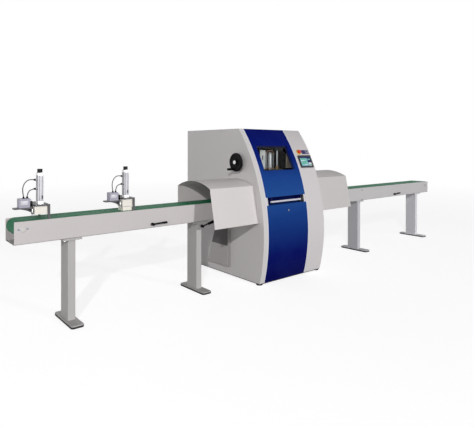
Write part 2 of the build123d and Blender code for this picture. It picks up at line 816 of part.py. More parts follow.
with BuildPart() as leg_pads:
    with BuildSketch():
        for x in infeed_leg_xs + outfeed_leg_xs:
            with Locations((x, foot_mid)):
                RectangleRounded(foot_x, foot_y, foot_corner)
            with Locations((x, anchor_ys[0]), (x, anchor_ys[1])):
                Circle(anchor_radius + 3, mode=Mode.SUBTRACT)
    extrude(amount=pad_thickness)
save(leg_pads, "leg_pads")


def clamp_lever(x, z, rise, stem):
    """Lever with a hub on the beam's front, a stem through it and a handle that leans up by rise degrees."""
    hub_out = 30.0
    arm_axis = Vector(cos(radians(rise)), 0, sin(radians(rise)))
    arm_root = (x, beam_front - 20, z)
    with BuildPart() as lever:
        rod((x, beam_front - skin_gap, z), (0, -1, 0), hub_out, lever_hub_radius)
        rod((x, beam_front - 1, z), (0, 1, 0), stem + 1, lever_stem_radius)
        with BuildSketch(Plane(origin=arm_root, x_dir=arm_axis, z_dir=(0, -1, 0))):
            with BuildLine():
                Polyline(
                    (0, 0),
                    (0, 7),
                    (lever_reach - 40, 9),
                    (lever_reach - 20, 11),
                    (lever_reach, 9),
                    (lever_reach + 4, 5),
                    (lever_reach + 4, 0),
                    close=True,
                )
            make_face()
        revolve(axis=Axis(arm_root, arm_axis))
    return lever


save(clamp_lever(infeed_lever_x, lever_height, 2, lever_stem), "infeed_lever")
save(clamp_lever(leg_lever_x, leg_lever_height, 13, leg_lever_stem), "leg_lever")
save(clamp_lever(outfeed_lever_x, lever_height, 4, lever_stem), "outfeed_lever")

# Pressers over the infeed belt: portal, guide box and valve shelf
post_offset = 53.0
guide_box_shift = -2.5
guide_inner_x = guide_box_x - 2 * guide_box_wall
guide_inner_y = guide_box_y - 2 * guide_box_wall
shelf_end = 197.0
shelf_front = presser_y - 20.0
shelf_rear = presser_y + 46.0
gusset = 12.0
with BuildPart() as presser_brackets:
    for x in presser_xs:
        box_left = x + guide_box_shift - guide_box_x / 2
        post_left = x + post_offset - post_width / 2
        post_right = post_left + post_width
        block(box_left, post_right, beam_front, beam_rear, portal_low, portal_top)
        rod((x, presser_y, portal_low - overcut), (0, 0, 1), portal_plate + 2 * overcut,
            presser_rod_radius + 0.5, Mode.SUBTRACT)
        for y in (beam_front, beam_rear - post_depth):
            block(post_left, post_right, y, y + post_depth, bed_top, portal_low)
        with BuildSketch(Plane.XY.offset(guide_box_low)):
            with Locations((x + guide_box_shift, presser_y)):
                Rectangle(guide_box_x, guide_box_y)
                Rectangle(guide_inner_x, guide_inner_y, mode=Mode.SUBTRACT)
        extrude(amount=portal_low - guide_box_low)
        block(x - shelf_end, box_left, shelf_front, shelf_rear, shelf_bottom, shelf_top)
        with BuildSketch(Plane.XZ.offset(-(presser_y + 1.5 * gusset))):
            with BuildLine():
                gusset_start = (x - shelf_end + 8, shelf_bottom)
                under = TangentArc(gusset_start, (box_left, guide_box_low + 6), tangent=(1, 0))
                Polyline(under @ 1, (box_left, shelf_bottom), under @ 0)
            make_face()
        extrude(amount=gusset)
save(presser_brackets, "presser_brackets")

cap_height = 32.0
presser_bore = 190.0
with BuildPart() as presser_cylinders:
    for x in presser_xs:
        block(x - cylinder_x / 2, x + cylinder_x / 2, presser_y - cylinder_y / 2, presser_y + cylinder_y / 2,
              portal_top, cylinder_top)
        rod((x, presser_y, cylinder_top), (0, 0, 1), cap_height, cap_radius)
        rod((x, presser_y, portal_top - overcut), (0, 0, 1), presser_bore + overcut,
            presser_rod_radius + run_gap, Mode.SUBTRACT)
        for z in (upper_port, lower_port):
            rod((x - cylinder_x / 2, presser_y, z), (-1, 0, 0), fitting_length, fitting_radius)
save(presser_cylinders, "presser_cylinders")


def presser_shoe(x, lift):
    """Pressing pad on its piston rod, raised by lift above the belt."""
    low = working_height + shoe_gap + lift
    high = low + shoe_thickness
    half_x = guide_inner_x / 2 - shoe_gap
    half_y = guide_inner_y / 2 - shoe_gap
    middle = x + guide_box_shift
    with BuildPart() as shoe:
        block(middle - half_x, middle + half_x, presser_y - half_y, presser_y + half_y, low, high)
        rod((x, presser_y, high), (0, 0, 1), presser_bore - 7, presser_rod_radius)
    return shoe


save(presser_shoe(presser_xs[0], presser_lifts[0]), "presser_shoe_outer")
save(presser_shoe(presser_xs[1], presser_lifts[1]), "presser_shoe_inner")

# Air hoses from the cylinder ports to the valve, each run given as its length and heading in degrees
long_runs = ((40, 170), (42, 210), (45, 245), (42, 270), (36, 280))
short_runs = ((33, 185), (34, 225), (33, 262))
hose_starts = ((upper_port, long_runs), (lower_port, short_runs))
port_out = cylinder_x / 2 + fitting_length + hose_gap


def hose_route(x, port, runs):
    """Points of a hose that leaves a cylinder port, in the plane of the ports."""
    points = [(x - port_out, presser_y, port)]
    for length, heading in runs:
        last_x, y, last_z = points[-1]
        points.append((last_x + length * cos(radians(heading)), y, last_z + length * sin(radians(heading))))
    return points


def bend_radii(points):
    """Largest radius that each corner of a route has room for."""
    radii = []
    for before, corner, after in zip(points, points[1:], points[2:]):
        run_in = Vector(*corner) - Vector(*before)
        run_out = Vector(*after) - Vector(*corner)
        turn = run_in.get_angle(run_out)
        radii.append(0.45 * min(run_in.length, run_out.length) / tan(radians(turn) / 2))
    return radii


def hose(points):
    """Hose along a route of straight runs joined by arcs."""
    radii = bend_radii(points)
    print("hose bend radii", [round(r, 1) for r in radii], "of hose diameter", 2 * hose_radius)
    with BuildLine() as route:
        FilletPolyline(*points, radius=radii)
    with BuildPart() as pipe:
        with BuildSketch(Plane(origin=route.line @ 0, z_dir=route.line % 0)):
            Circle(hose_radius)
        sweep(path=route.line)
    length = sum(edge.length for edge in route.edges())
    swept = pipe.part.volume / (pi * hose_radius**2 * length)
    print("hose volume over section times length", round(swept, 4), "length", round(length, 1))
    return pipe.part


valve_left = 163.0
valve_right = 80.0
valve_rear = presser_y + 40.0
nipple_radius = 7.0
nipple_gap = 1.5
with BuildPart() as presser_valves:
    for x in presser_xs:
        block(x - valve_left, x - valve_right, shelf_front, valve_rear, shelf_top, valve_top)
        for port, runs in hose_starts:
            end_x, end_y, end_z = hose_route(x, port, runs)[-1]
            rod((end_x, end_y, valve_top), (0, 0, 1), end_z - valve_top - nipple_gap, nipple_radius)
save(presser_valves, "presser_valves")

for place, x in zip(("outer", "inner"), presser_xs):
    with BuildPart() as presser_hoses:
        for port, runs in hose_starts:
            add(hose(hose_route(x, port, runs)))
    save(presser_hoses, f"presser_hoses_{place}")

# Saw table with the slot that the blade rises through
slot_half = 6.0
table_half = blade_radius + 10.0
slot_reach = blade_radius - 10.0
table_top = table_bottom + table_thickness
with BuildPart() as saw_table:
    block(infeed_stop + 5, outfeed_start - 10, saw_y - table_half, saw_y + table_half, table_bottom,
          table_top)
    block(saw_x - slot_half, saw_x + slot_half, saw_y - slot_reach, saw_y + slot_reach,
          table_bottom - overcut, table_top + overcut, Mode.SUBTRACT)
save(saw_table, "saw_table")

# Saw lift: two guide columns between a foot plate and a tie plate, and the lift cylinder between them
guide_block_low = saw_z - 70.0
lift_edge = 40.0
lift_foot = frame_top + 12.0
lift_tie = table_bottom - 14.0
lift_cylinder_top = guide_block_low - 120.0
lift_wall = 8.0
lift_head = 20.0
with BuildPart() as saw_lift:
    block(lift_x - 60, plate_x, lift_front - lift_edge, lift_rear + lift_edge, frame_top, lift_foot)
    block(lift_x - 40, lift_x + 40, lift_front - lift_edge, lift_rear + lift_edge, lift_tie, table_bottom)
    for y in (lift_front, lift_rear):
        rod((lift_x, y, lift_foot), (0, 0, 1), lift_tie - lift_foot, lift_column_radius)
    rod((lift_x, lift_mid, lift_foot), (0, 0, 1), lift_cylinder_top - lift_foot, lift_cylinder_radius)
    rod((lift_x, lift_mid, lift_foot + lift_wall), (0, 0, 1),
        lift_cylinder_top - lift_foot - lift_wall - lift_head, lift_piston_radius, Mode.SUBTRACT)
    rod((lift_x, lift_mid, lift_cylinder_top - lift_head - overcut), (0, 0, 1), lift_head + 2 * overcut,
        lift_rod_radius + run_gap, Mode.SUBTRACT)
save(saw_lift, "saw_lift")

# Saw carriage: vertical plate with the arbor housing and the guide block, and the lift rod under it
carriage_low = motor_z - 110.0
carriage_high = saw_z + 60.0
arbor_start = saw_x + 30.0
guide_block_edge = 50.0
piston_low = lift_foot + 58.0
piston_height = 20.0
web_half = 35.0
shaft_hole_radius = 30.0
plate_right = plate_x + plate_thickness
with BuildPart() as saw_carriage:
    block(plate_x, plate_right, saw_y - 110, lift_rear + 60, carriage_low, carriage_high)
    block(lift_x - 60, plate_x, lift_front - guide_block_edge, lift_rear + guide_block_edge, guide_block_low,
          carriage_high)
    rod((arbor_start, saw_y, saw_z), (1, 0, 0), plate_x - arbor_start, arbor_housing_radius)
    block(lift_x - 60, plate_x, saw_y, lift_front - guide_block_edge, saw_z - web_half, saw_z + web_half)
    rod((arbor_start - overcut, saw_y, saw_z), (1, 0, 0), plate_right - arbor_start + 2 * overcut,
        arbor_radius + run_gap, Mode.SUBTRACT)
    rod((plate_x - overcut, saw_y, motor_z), (1, 0, 0), plate_thickness + 2 * overcut, shaft_hole_radius,
        Mode.SUBTRACT)
    for y in (lift_front, lift_rear):
        rod((lift_x, y, guide_block_low - overcut), (0, 0, 1), carriage_high - guide_block_low + 2 * overcut,
            lift_column_radius + run_gap, Mode.SUBTRACT)
    rod((lift_x, lift_mid, piston_low), (0, 0, 1), guide_block_low - piston_low, lift_rod_radius)
    rod((lift_x, lift_mid, piston_low), (0, 0, 1), piston_height, lift_piston_radius - skin_gap)
save(saw_carriage, "saw_carriage")

# Motor flanged to the carriage plate, with its terminal box towards the front
motor_left = saw_x + 40.0
motor_bore_left = motor_left + 120.0
terminal_half = 45.0
terminal_front = saw_y - motor_radius - 45.0
with BuildPart() as saw_motor:
    rod((motor_left, saw_y, motor_z), (1, 0, 0), plate_x - motor_left, motor_radius)
    block(motor_left + 60, motor_left + 160, terminal_front, saw_y - motor_radius + 30,
          motor_z - terminal_half, motor_z + terminal_half)
    rod((motor_bore_left, saw_y, motor_z), (1, 0, 0), plate_x - motor_bore_left + overcut,
        motor_shaft_radius + run_gap, Mode.SUBTRACT)
save(saw_motor, "saw_motor")

pulley_right = pulley_x + pulley_width
motor_shaft_left = motor_bore_left + 5.0
with BuildPart() as motor_pulley:
    rod((motor_shaft_left, saw_y, motor_z), (1, 0, 0), pulley_right - motor_shaft_left, motor_shaft_radius)
    rod((pulley_x, saw_y, motor_z), (1, 0, 0), pulley_width, motor_pulley_radius)
save(motor_pulley, "motor_pulley")

blade_left = saw_x - blade_thickness / 2
arbor_left = blade_left - flange_thickness - 8.0
with BuildPart() as saw_arbor:
    rod((arbor_left, saw_y, saw_z), (1, 0, 0), pulley_right - arbor_left, arbor_radius)
    for x in (blade_left - flange_thickness, blade_left + blade_thickness):
        rod((x, saw_y, saw_z), (1, 0, 0), flange_thickness, flange_radius)
    rod((pulley_x, saw_y, saw_z), (1, 0, 0), pulley_width, arbor_pulley_radius)
save(saw_arbor, "saw_arbor")

# Blade: each tooth is a tip, its back and the bottom of the gullet
tooth_outline = ((0, 0), (0.3, 4), (0.75, 16))
with BuildPart() as saw_blade:
    with BuildSketch(Plane.YZ.offset(blade_left)):
        with BuildLine():
            rim = []
            for tooth in range(blade_teeth):
                for turn, depth in tooth_outline:
                    angle = 2 * pi * (tooth + turn) / blade_teeth
                    radius = blade_radius - depth
                    rim.append((saw_y + radius * cos(angle), saw_z + radius * sin(angle)))
            Polyline(*rim, close=True)
        make_face()
        with Locations((saw_y, saw_z)):
            Circle(arbor_radius + run_gap, mode=Mode.SUBTRACT)
    extrude(amount=blade_thickness)
save(saw_blade, "saw_blade")

# Drive belt round the motor pulley and the arbor pulley
with BuildPart() as drive_belt:
    with BuildSketch(Plane.YZ.offset(pulley_x + (pulley_width - drive_belt_width) / 2)):
        for grow, mode in ((belt_gap + drive_belt_thickness, Mode.ADD), (belt_gap, Mode.SUBTRACT)):
            big = motor_pulley_radius + grow
            small = arbor_pulley_radius + grow
            lean = asin((big - small) / (saw_z - motor_z))
            with BuildLine(mode=Mode.PRIVATE) as loop:
                Polyline(
                    (saw_y - big * cos(lean), motor_z + big * sin(lean)),
                    (saw_y - small * cos(lean), saw_z + small * sin(lean)),
                    (saw_y + small * cos(lean), saw_z + small * sin(lean)),
                    (saw_y + big * cos(lean), motor_z + big * sin(lean)),
                    close=True,
                )
            make_face(loop.line, mode=mode)
            with Locations((saw_y, motor_z)):
                Circle(big, mode=mode)
            with Locations((saw_y, saw_z)):
                Circle(small, mode=mode)
    extrude(amount=drive_belt_width)
save(drive_belt, "drive_belt")

# Chip shroud around the blade, slotted for the arbor, and the duct from it to the spigot at the rear
shroud_half = 25.0
shroud_left = saw_x - shroud_half
shroud_right = saw_x + shroud_half
shroud_front = saw_y - blade_radius - 20.0
shroud_rear = saw_y + blade_radius + 20.0
arbor_slot_half = arbor_radius + 10.0
inner_half = shroud_half - thin_sheet
with BuildPart() as blade_shroud:
    block(shroud_left, shroud_right, shroud_front, shroud_rear, shroud_low, table_bottom)
    block(saw_x - inner_half, saw_x + inner_half, shroud_front + thin_sheet, shroud_rear - thin_sheet,
          shroud_low + thin_sheet, table_bottom + overcut, Mode.SUBTRACT)
    block(shroud_right - overcut, shroud_right + overcut, saw_y - arbor_slot_half, saw_y + arbor_slot_half,
          saw_z - 40, table_bottom + overcut, Mode.SUBTRACT)
    block(saw_x - inner_half, saw_x + inner_half, shroud_rear - overcut, shroud_rear + overcut, duct_low,
          duct_high, Mode.SUBTRACT)
save(blade_shroud, "blade_shroud")

duct_start = shroud_rear + 110.0
duct_rim = 5.0
with BuildPart() as dust_spout:
    for shrink, mode in ((0, Mode.ADD), (thin_sheet, Mode.SUBTRACT)):
        with BuildSketch(Plane.XZ.offset(-shroud_rear)):
            with Locations((saw_x, spout_z)):
                Rectangle(2 * (shroud_half - shrink), duct_high - duct_low + 2 * (duct_rim - shrink))
        with BuildSketch(Plane.XZ.offset(-duct_start)):
            with Locations((saw_x, spout_z)):
                Circle(duct_radius - shrink)
        loft(mode=mode)
        rod((saw_x, duct_start, spout_z), (0, 1, 0), rear - duct_start, duct_radius - shrink, mode)
    rod((saw_x, rear, spout_z), (0, 1, 0), collar, spout_radius + 15)
    rod((saw_x, rear, spout_z), (0, 1, 0), spout_length, spout_radius)
    rod((saw_x, rear - overcut, spout_z), (0, 1, 0), spout_length + 2 * overcut, duct_radius - thin_sheet,
        Mode.SUBTRACT)
save(dust_spout, "dust_spout")

# Overhead bridge with guide rods, and the plate that holds the angle gearbox
bridge_half = bridge_bar / 2
bridge_arm_front = saw_y - 70.0
bridge_post_front = bridge_post_y - bridge_half
bridge_post_rear = bridge_post_y + bridge_half
gearbox_half = gearbox_size / 2
gearbox_right = screw_x + gearbox_half
gearbox_low = wheel_z - gearbox_half
with BuildPart() as upper_bridge:
    for x in guide_xs:
        block(x - bridge_half, x + bridge_half, bridge_post_front, bridge_post_rear, frame_top, bridge_high)
        block(x - bridge_half, x + bridge_half, bridge_arm_front, bridge_post_front, bridge_low, bridge_high)
        rod((x, saw_y, guide_rod_low), (0, 0, 1), bridge_low - guide_rod_low, guide_radius)
    block(guide_xs[0], guide_xs[1], bridge_post_front, bridge_post_rear, bridge_low, bridge_high)
    block(gearbox_right, guide_xs[0] - bridge_half, wheel_y - gearbox_half - 5, wheel_y + 110, gearbox_low,
          bridge_high)
save(upper_bridge, "upper_bridge")

shaft_seat = 34.0
with BuildPart() as angle_gearbox:
    block(screw_x - gearbox_half, gearbox_right, wheel_y - gearbox_half, wheel_y + gearbox_half, gearbox_low,
          wheel_z + gearbox_half)
    rod((screw_x - gearbox_half - overcut, wheel_y, wheel_z), (1, 0, 0), shaft_seat,
        wheel_shaft_radius + run_gap, Mode.SUBTRACT)
    rod((screw_x, wheel_y, gearbox_low - overcut), (0, 0, 1), shaft_seat, wheel_shaft_radius + run_gap,
        Mode.SUBTRACT)
save(angle_gearbox, "angle_gearbox")

screw_top = gearbox_low - overcut + shaft_seat - 2.0
with BuildPart() as lead_screw:
    rod((screw_x, wheel_y, lead_screw_low), (0, 0, 1), screw_top - lead_screw_low, wheel_shaft_radius)
save(lead_screw, "lead_screw")

# Clamp beam on the guide rods, with two cylinders that push the clamp shoes down
clamp_bore = 177.0
clamp_holes = [(x, saw_y, guide_radius) for x in guide_xs]
clamp_holes += [(x, saw_y, clamp_rod_radius) for x in clamp_xs]
clamp_holes += [(screw_x, wheel_y, wheel_shaft_radius)]
with BuildPart() as clamp_beam:
    block(screw_x - 23, guide_xs[1] + 35, saw_y - 110, saw_y + 70, clamp_beam_low, clamp_beam_high)
    for x, y, radius in clamp_holes:
        rod((x, y, clamp_beam_low - overcut), (0, 0, 1), clamp_beam_thickness + 2 * overcut, radius + run_gap,
            Mode.SUBTRACT)
save(clamp_beam, "clamp_beam")

with BuildPart() as clamp_cylinders:
    for x in clamp_xs:
        rod((x, saw_y, clamp_beam_high), (0, 0, 1), clamp_bore + 13, clamp_cylinder_radius)
        rod((x, saw_y, clamp_beam_high - overcut), (0, 0, 1), clamp_bore + overcut,
            clamp_rod_radius + run_gap, Mode.SUBTRACT)
save(clamp_cylinders, "clamp_cylinders")

clamp_shoe_half_x = 35.0
clamp_shoe_half_y = 75.0
clamp_shoe_high = clamp_shoe_low + 30.0
clamp_rod_top = clamp_beam_high + clamp_bore - 7.0
with BuildPart() as clamp_shoes:
    for x in clamp_xs:
        block(x - clamp_shoe_half_x, x + clamp_shoe_half_x, saw_y - clamp_shoe_half_y,
              saw_y + clamp_shoe_half_y, clamp_shoe_low, clamp_shoe_high)
        rod((x, saw_y, clamp_shoe_high), (0, 0, 1), clamp_rod_top - clamp_shoe_high, clamp_rod_radius)
save(clamp_shoes, "clamp_shoes")

print("overall", total_length, overall_depth, housing_height)
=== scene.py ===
# %% [markdown]
# # A crosscut saw, dressed in Blender
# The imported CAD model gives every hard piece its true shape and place, in metres, with +X along the feed,
# -Y towards the operator and +Z up. The machine could be modelled again here, but then two models would
# drift apart. So nothing of the CAD is moved: this lesson puts a camera, light, finishes and small parts
# around it, and only the hoses take the place of CAD solids.

# %% Load the frame
import json
import math
import bmesh
import bpy
from mathutils import Matrix, Vector


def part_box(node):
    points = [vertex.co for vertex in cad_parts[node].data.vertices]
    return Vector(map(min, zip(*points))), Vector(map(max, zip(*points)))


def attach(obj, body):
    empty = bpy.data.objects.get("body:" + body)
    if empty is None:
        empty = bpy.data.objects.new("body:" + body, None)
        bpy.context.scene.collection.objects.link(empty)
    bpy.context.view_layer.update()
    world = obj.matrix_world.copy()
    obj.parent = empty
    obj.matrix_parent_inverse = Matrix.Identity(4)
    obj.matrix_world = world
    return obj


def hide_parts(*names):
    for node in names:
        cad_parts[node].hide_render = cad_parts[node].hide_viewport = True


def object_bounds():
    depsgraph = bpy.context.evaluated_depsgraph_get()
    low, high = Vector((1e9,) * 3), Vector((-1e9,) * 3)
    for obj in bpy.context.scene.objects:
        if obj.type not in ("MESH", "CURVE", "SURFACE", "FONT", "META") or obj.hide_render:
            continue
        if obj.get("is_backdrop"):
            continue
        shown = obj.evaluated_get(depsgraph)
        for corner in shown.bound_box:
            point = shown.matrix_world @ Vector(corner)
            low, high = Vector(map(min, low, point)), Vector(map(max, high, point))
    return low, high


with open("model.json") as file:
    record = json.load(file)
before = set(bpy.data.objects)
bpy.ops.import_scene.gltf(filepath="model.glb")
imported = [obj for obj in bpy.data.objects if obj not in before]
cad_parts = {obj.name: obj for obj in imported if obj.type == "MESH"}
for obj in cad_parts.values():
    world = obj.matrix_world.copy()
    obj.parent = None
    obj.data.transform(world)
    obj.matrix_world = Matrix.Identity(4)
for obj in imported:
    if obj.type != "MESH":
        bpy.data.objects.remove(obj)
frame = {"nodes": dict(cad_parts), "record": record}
nodes = frame["nodes"]
cad_box = [list(corner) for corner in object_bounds()]
scene = bpy.context.scene

# %% [markdown]
# ## Camera
# The picture was taken from the infeed side at eye height, with the horizon above the middle of the
# frame. A tilted camera would make the posts lean. A view camera shifts its film instead, which keeps
# them upright, so this camera looks level and its shift moves the picture.

# %% Camera
CAMERA_AT = Vector((-4.1974, -4.0845, 1.4827))
YAW, PITCH, ROLL = math.radians(39.5946), math.radians(-0.17), math.radians(0.113)
FILM_WIDTH, FOCAL_LENGTH = 36.0, 33.54
SHIFT_ACROSS, SHIFT_UP, SEES_TO = 0.0186, -0.1376, 100.0
ahead = Vector((math.sin(YAW) * math.cos(PITCH), math.cos(YAW) * math.cos(PITCH), math.sin(PITCH)))
level = Vector((math.cos(YAW), -math.sin(YAW), 0))
upright = level.cross(ahead)
across = level * math.cos(ROLL) + upright * math.sin(ROLL)
upward = upright * math.cos(ROLL) - level * math.sin(ROLL)
looking = Matrix((across, upward, -ahead)).transposed().to_4x4()

lens = bpy.data.cameras.new("photo_camera")
lens.sensor_width, lens.lens = FILM_WIDTH, FOCAL_LENGTH
lens.shift_x, lens.shift_y, lens.clip_end = SHIFT_ACROSS, SHIFT_UP, SEES_TO
camera = bpy.data.objects.new("photo_camera", lens)
camera.matrix_world = Matrix.Translation(CAMERA_AT) @ looking
scene.collection.objects.link(camera)
scene.camera = camera
print("camera looks along", [round(v, 3) for v in ahead])

# %% [markdown]
# ## Colours
# A colour is easiest to choose on a screen, in steps of 0 to 255, but the renderer reckons in linear
# light. Linear numbers could be typed in, but nobody sees a colour in them. So one short function turns
# screen colours into linear ones, and another makes a colour lighter or darker.

# %% Colours
def srgb(red, green, blue):
    """Linear colour of a screen colour given in steps of 0 to 255."""
    steps = [value / 255 for value in (red, green, blue)]
    return [v / 12.92 if v <= 0.04045 else ((v + 0.055) / 1.055) ** 2.4 for v in steps]


def shade(colour, factor):
    """The same colour, lighter or darker."""
    return [min(value * factor, 1.0) for value in colour]


print("middle grey in linear light:", [round(value, 3) for value in srgb(128, 128, 128)])

# %% [markdown]
# ## Node trees
# A finish could be one flat colour, but real paint and metal vary a little from place to place. So each
# finish is a small tree of nodes that feed the sockets of one shader. A short class does the adding and
# linking, and keeps each recipe readable. What is the same all over a surface is set on the shader's own
# sockets.

# %% Node trees
class Tree:
    """A node tree under construction, with its shader."""

    def __init__(self, name, holder=None, shader="BsdfPrincipled", output="OutputMaterial"):
        self.holder = holder or bpy.data.materials.new(name)
        self.holder.use_nodes = True
        self.tree = self.holder.node_tree
        self.tree.nodes.clear()
        self.output = self.node(output)
        self.shader = self.node(shader)
        self.link(self.shader.outputs[0], self.output.inputs[0])

    def node(self, kind, **settings):
        made = self.tree.nodes.new("ShaderNode" + kind)
        for key, value in settings.items():
            setattr(made, key, value)
        return made

    def link(self, source, target):
        self.tree.links.new(source, target)

    def feed(self, target, value):
        """Link a socket, or set a constant."""
        if isinstance(value, bpy.types.NodeSocket):
            self.link(value, target)
        elif target.type == "RGBA":
            target.default_value = (*value, 1.0)
        else:
            target.default_value = value

    def set(self, **sockets):
        """Values of the shader, named with _ for spaces."""
        for key, value in sockets.items():
            self.feed(self.shader.inputs[key.replace("_", " ")], value)


print("node trees ready")

# %% [markdown]
# ## Sums and mixes
# Inside a tree, numbers are added, compared and stretched, and colours are mixed. Each of these is a node
# with sockets to fill. They could be added by hand in the node editor, but here each gets one method that
# returns the socket with the result, so that a recipe reads like a sum.

# %% Sums and mixes
class MixingTree(Tree):
    """A tree that can reckon and mix colours."""

    def math(self, operation, first, second=0.0):
        made = self.node("Math", operation=operation)
        self.feed(made.inputs[0], first)
        self.feed(made.inputs[1], second)
        return made.outputs[0]

    def range(self, value, low, high, to_low, to_high):
        """Stretch a value from one span to another."""
        made = self.node("MapRange")
        for socket, number in zip(made.inputs[1:5], (low, high, to_low, to_high)):
            socket.default_value = number
        self.link(value, made.inputs[0])
        return made.outputs[0]

    def blend(self, factor, first, second, mode="MIX"):
        """Mix two colours; sockets 6 and 7 are the colour inputs of the node, 2 its colour output."""
        made = self.node("Mix", data_type="RGBA", blend_type=mode)
        for socket, value in ((0, factor), (6, first), (7, second)):
            self.feed(made.inputs[socket], value)
        return made.outputs[2]

    def ramp(self, value, stops):
        """Colours at places along a value."""
        made = self.node("ValToRGB")
        band = made.color_ramp
        while len(band.elements) < len(stops):
            band.elements.new(1.0)
        for element, (at, colour) in zip(band.elements, stops):
            element.position, element.color = at, (*colour, 1.0)
        self.link(value, made.inputs[0])
        return made.outputs[0]


print("sums and mixes ready")

# %% [markdown]
# ## Textures
# A texture could be wrapped round a piece with an unwrapped map, but then its grain changes size from
# piece to piece. These textures are solid: they are placed by the object's own coordinates, which are
# metres here, so a scratch is as wide on a lever as on a beam. Bumps are given by their real depth.

# %% Textures
EVENLY = (1, 1, 1)
NOISE_LOW, NOISE_HIGH = 0.3, 0.7


class Finish(MixingTree):
    """A tree with textures and bumps, placed in metres."""

    relief = None

    def place(self, stretch=EVENLY, kind="Object"):
        coordinates = self.node("TexCoord").outputs[kind]
        if stretch == EVENLY:
            return coordinates
        mapping = self.node("Mapping")
        self.link(coordinates, mapping.inputs["Vector"])
        mapping.inputs["Scale"].default_value = stretch
        return mapping.outputs[0]

    def axis(self, letter, kind="Object"):
        split = self.node("SeparateXYZ")
        self.link(self.place(kind=kind), split.inputs[0])
        return split.outputs[letter]

    def texture(self, kind, stretch, settings, **sockets):
        """A texture node with its place linked and its numbers set."""
        made = self.node(kind, **settings)
        self.link(self.place(stretch), made.inputs["Vector"])
        for name, value in sockets.items():
            made.inputs[name].default_value = value
        return made.outputs

    def noise(self, scale, detail=2.0, stretch=EVENLY, distortion=0.0):
        return self.texture("TexNoise", stretch, {}, Scale=scale, Detail=detail, Distortion=distortion)["Fac"]

    def wander(self, scale, detail, low, high):
        """A value that wanders between two limits from place to place."""
        return self.range(self.noise(scale, detail), NOISE_LOW, NOISE_HIGH, low, high)

    def cells(self, scale, feature="F1", output="Distance"):
        return self.texture("TexVoronoi", EVENLY, {"feature": feature}, Scale=scale)[output]

    def waves(self, scale, direction, stretch=EVENLY):
        return self.texture("TexWave", stretch, {"bands_direction": direction}, Scale=scale)["Fac"]

    def bump(self, height, depth, strength):
        """Raise the surface by depth metres where height is 1, on top of what is there."""
        made = self.node("Bump")
        made.inputs["Distance"].default_value = depth
        made.inputs["Strength"].default_value = strength
        self.link(height, made.inputs["Height"])
        if self.relief:
            self.link(self.relief, made.inputs["Normal"])
        self.relief = made.outputs[0]
        self.link(self.relief, self.shader.inputs["Normal"])


print("textures ready")

# %% [markdown]
# ## Surround
# The light is that of a plain studio. An even white dome would do, but it would leave no form. So the
# surround has three wide, soft glows: a weak one in front, one on the infeed side and one at the back.
# The camera, mirrors and glass see plain white instead.

# %% Surround
WHITE_SEEN = ("Is Camera Ray", "Is Glossy Ray", "Is Transmission Ray")
GLOWS = (
    {"way": (0.27, -0.96, 0.06), "narrow": 3.5, "peak": 1.3},
    {"way": (-0.94, -0.10, 0.05), "narrow": 2.0, "peak": 2.4},
    {"way": (0.40, 0.91, 0.04), "narrow": 2.4, "peak": 7.6},
)
GLOW_BASE, GLOW_LOW = 0.07, 4.0


def seen_directly(finish):
    """1 where the camera, a mirror or glass looks straight at it."""
    path = finish.node("LightPath")
    seen = path.outputs[WHITE_SEEN[0]]
    for name in WHITE_SEEN[1:]:
        seen = finish.math("MAXIMUM", seen, path.outputs[name])
    return seen


scene.world = bpy.data.worlds.new("white_surround")
sky = Finish("", scene.world, "MixShader", "OutputWorld")
light = 0.0
for glow in GLOWS:
    facing = sky.node("VectorMath", operation="DOT_PRODUCT")
    sky.link(sky.place(kind="Generated"), facing.inputs[0])
    facing.inputs[1].default_value = Vector(glow["way"]).normalized()
    lobe = sky.math("POWER", sky.math("MAXIMUM", facing.outputs["Value"]), glow["narrow"])
    light = sky.math("ADD", sky.math("MULTIPLY", lobe, glow["peak"]), light)
height = sky.math("MAXIMUM", sky.axis("Z", "Generated"))
light = sky.math("MULTIPLY", light, sky.math("POWER", sky.math("SUBTRACT", 1.0, height), GLOW_LOW))
soft = sky.node("Background")
sky.link(sky.math("ADD", light, GLOW_BASE), soft.inputs["Strength"])
white = sky.node("Background")
white.inputs["Color"].default_value = (1, 1, 1, 1)
for socket, source in enumerate((seen_directly(sky), soft.outputs[0], white.outputs[0])):
    sky.link(source, sky.shader.inputs[socket])
scene.view_settings.view_transform = "Standard"
print("surround:", len(GLOWS), "glows")

# %% [markdown]
# ## Floor
# The floor is pale paper that keeps a faint shadow. A lit white floor would throw its light back up at
# the machine. So the paper is grey to the lamps and only seems white: it shines for the camera, mirrors
# and glass, and far away it fades into the white surround.

# %% Floor
FLOOR_HALF, FADE_FROM, FADE_TO = 40.0, 5.0, 14.0
PAPER_NEAR, PAPER_FAR = (0.42, 0.42, 0.42), (0.0, 0.0, 0.0)
SHINE_NEAR, SHINE_FAR = 0.80, 1.0
sheet = bpy.data.meshes.new("floor")
corners = [(FLOOR_HALF * x, FLOOR_HALF * y, 0) for x, y in ((-1, -1), (1, -1), (1, 1), (-1, 1))]
sheet.from_pydata(corners, [], [(0, 1, 2, 3)])
floor = bpy.data.objects.new("floor", sheet)
scene.collection.objects.link(floor)
paper = Finish("floor_paper", shader="AddShader")
away = paper.node("VectorMath", operation="LENGTH")
paper.link(paper.place(), away.inputs[0])
far = paper.range(away.outputs["Value"], FADE_FROM, FADE_TO, 0.0, 1.0)
matt = paper.node("BsdfDiffuse")
paper.link(paper.blend(far, PAPER_NEAR, PAPER_FAR), matt.inputs["Color"])
shine = paper.node("Emission")
glimmer = paper.range(far, 0.0, 1.0, SHINE_NEAR, SHINE_FAR)
paper.link(paper.math("MULTIPLY", seen_directly(paper), glimmer), shine.inputs["Strength"])
paper.link(matt.outputs[0], paper.shader.inputs[0])
paper.link(shine.outputs[0], paper.shader.inputs[1])
sheet.materials.append(paper.holder)
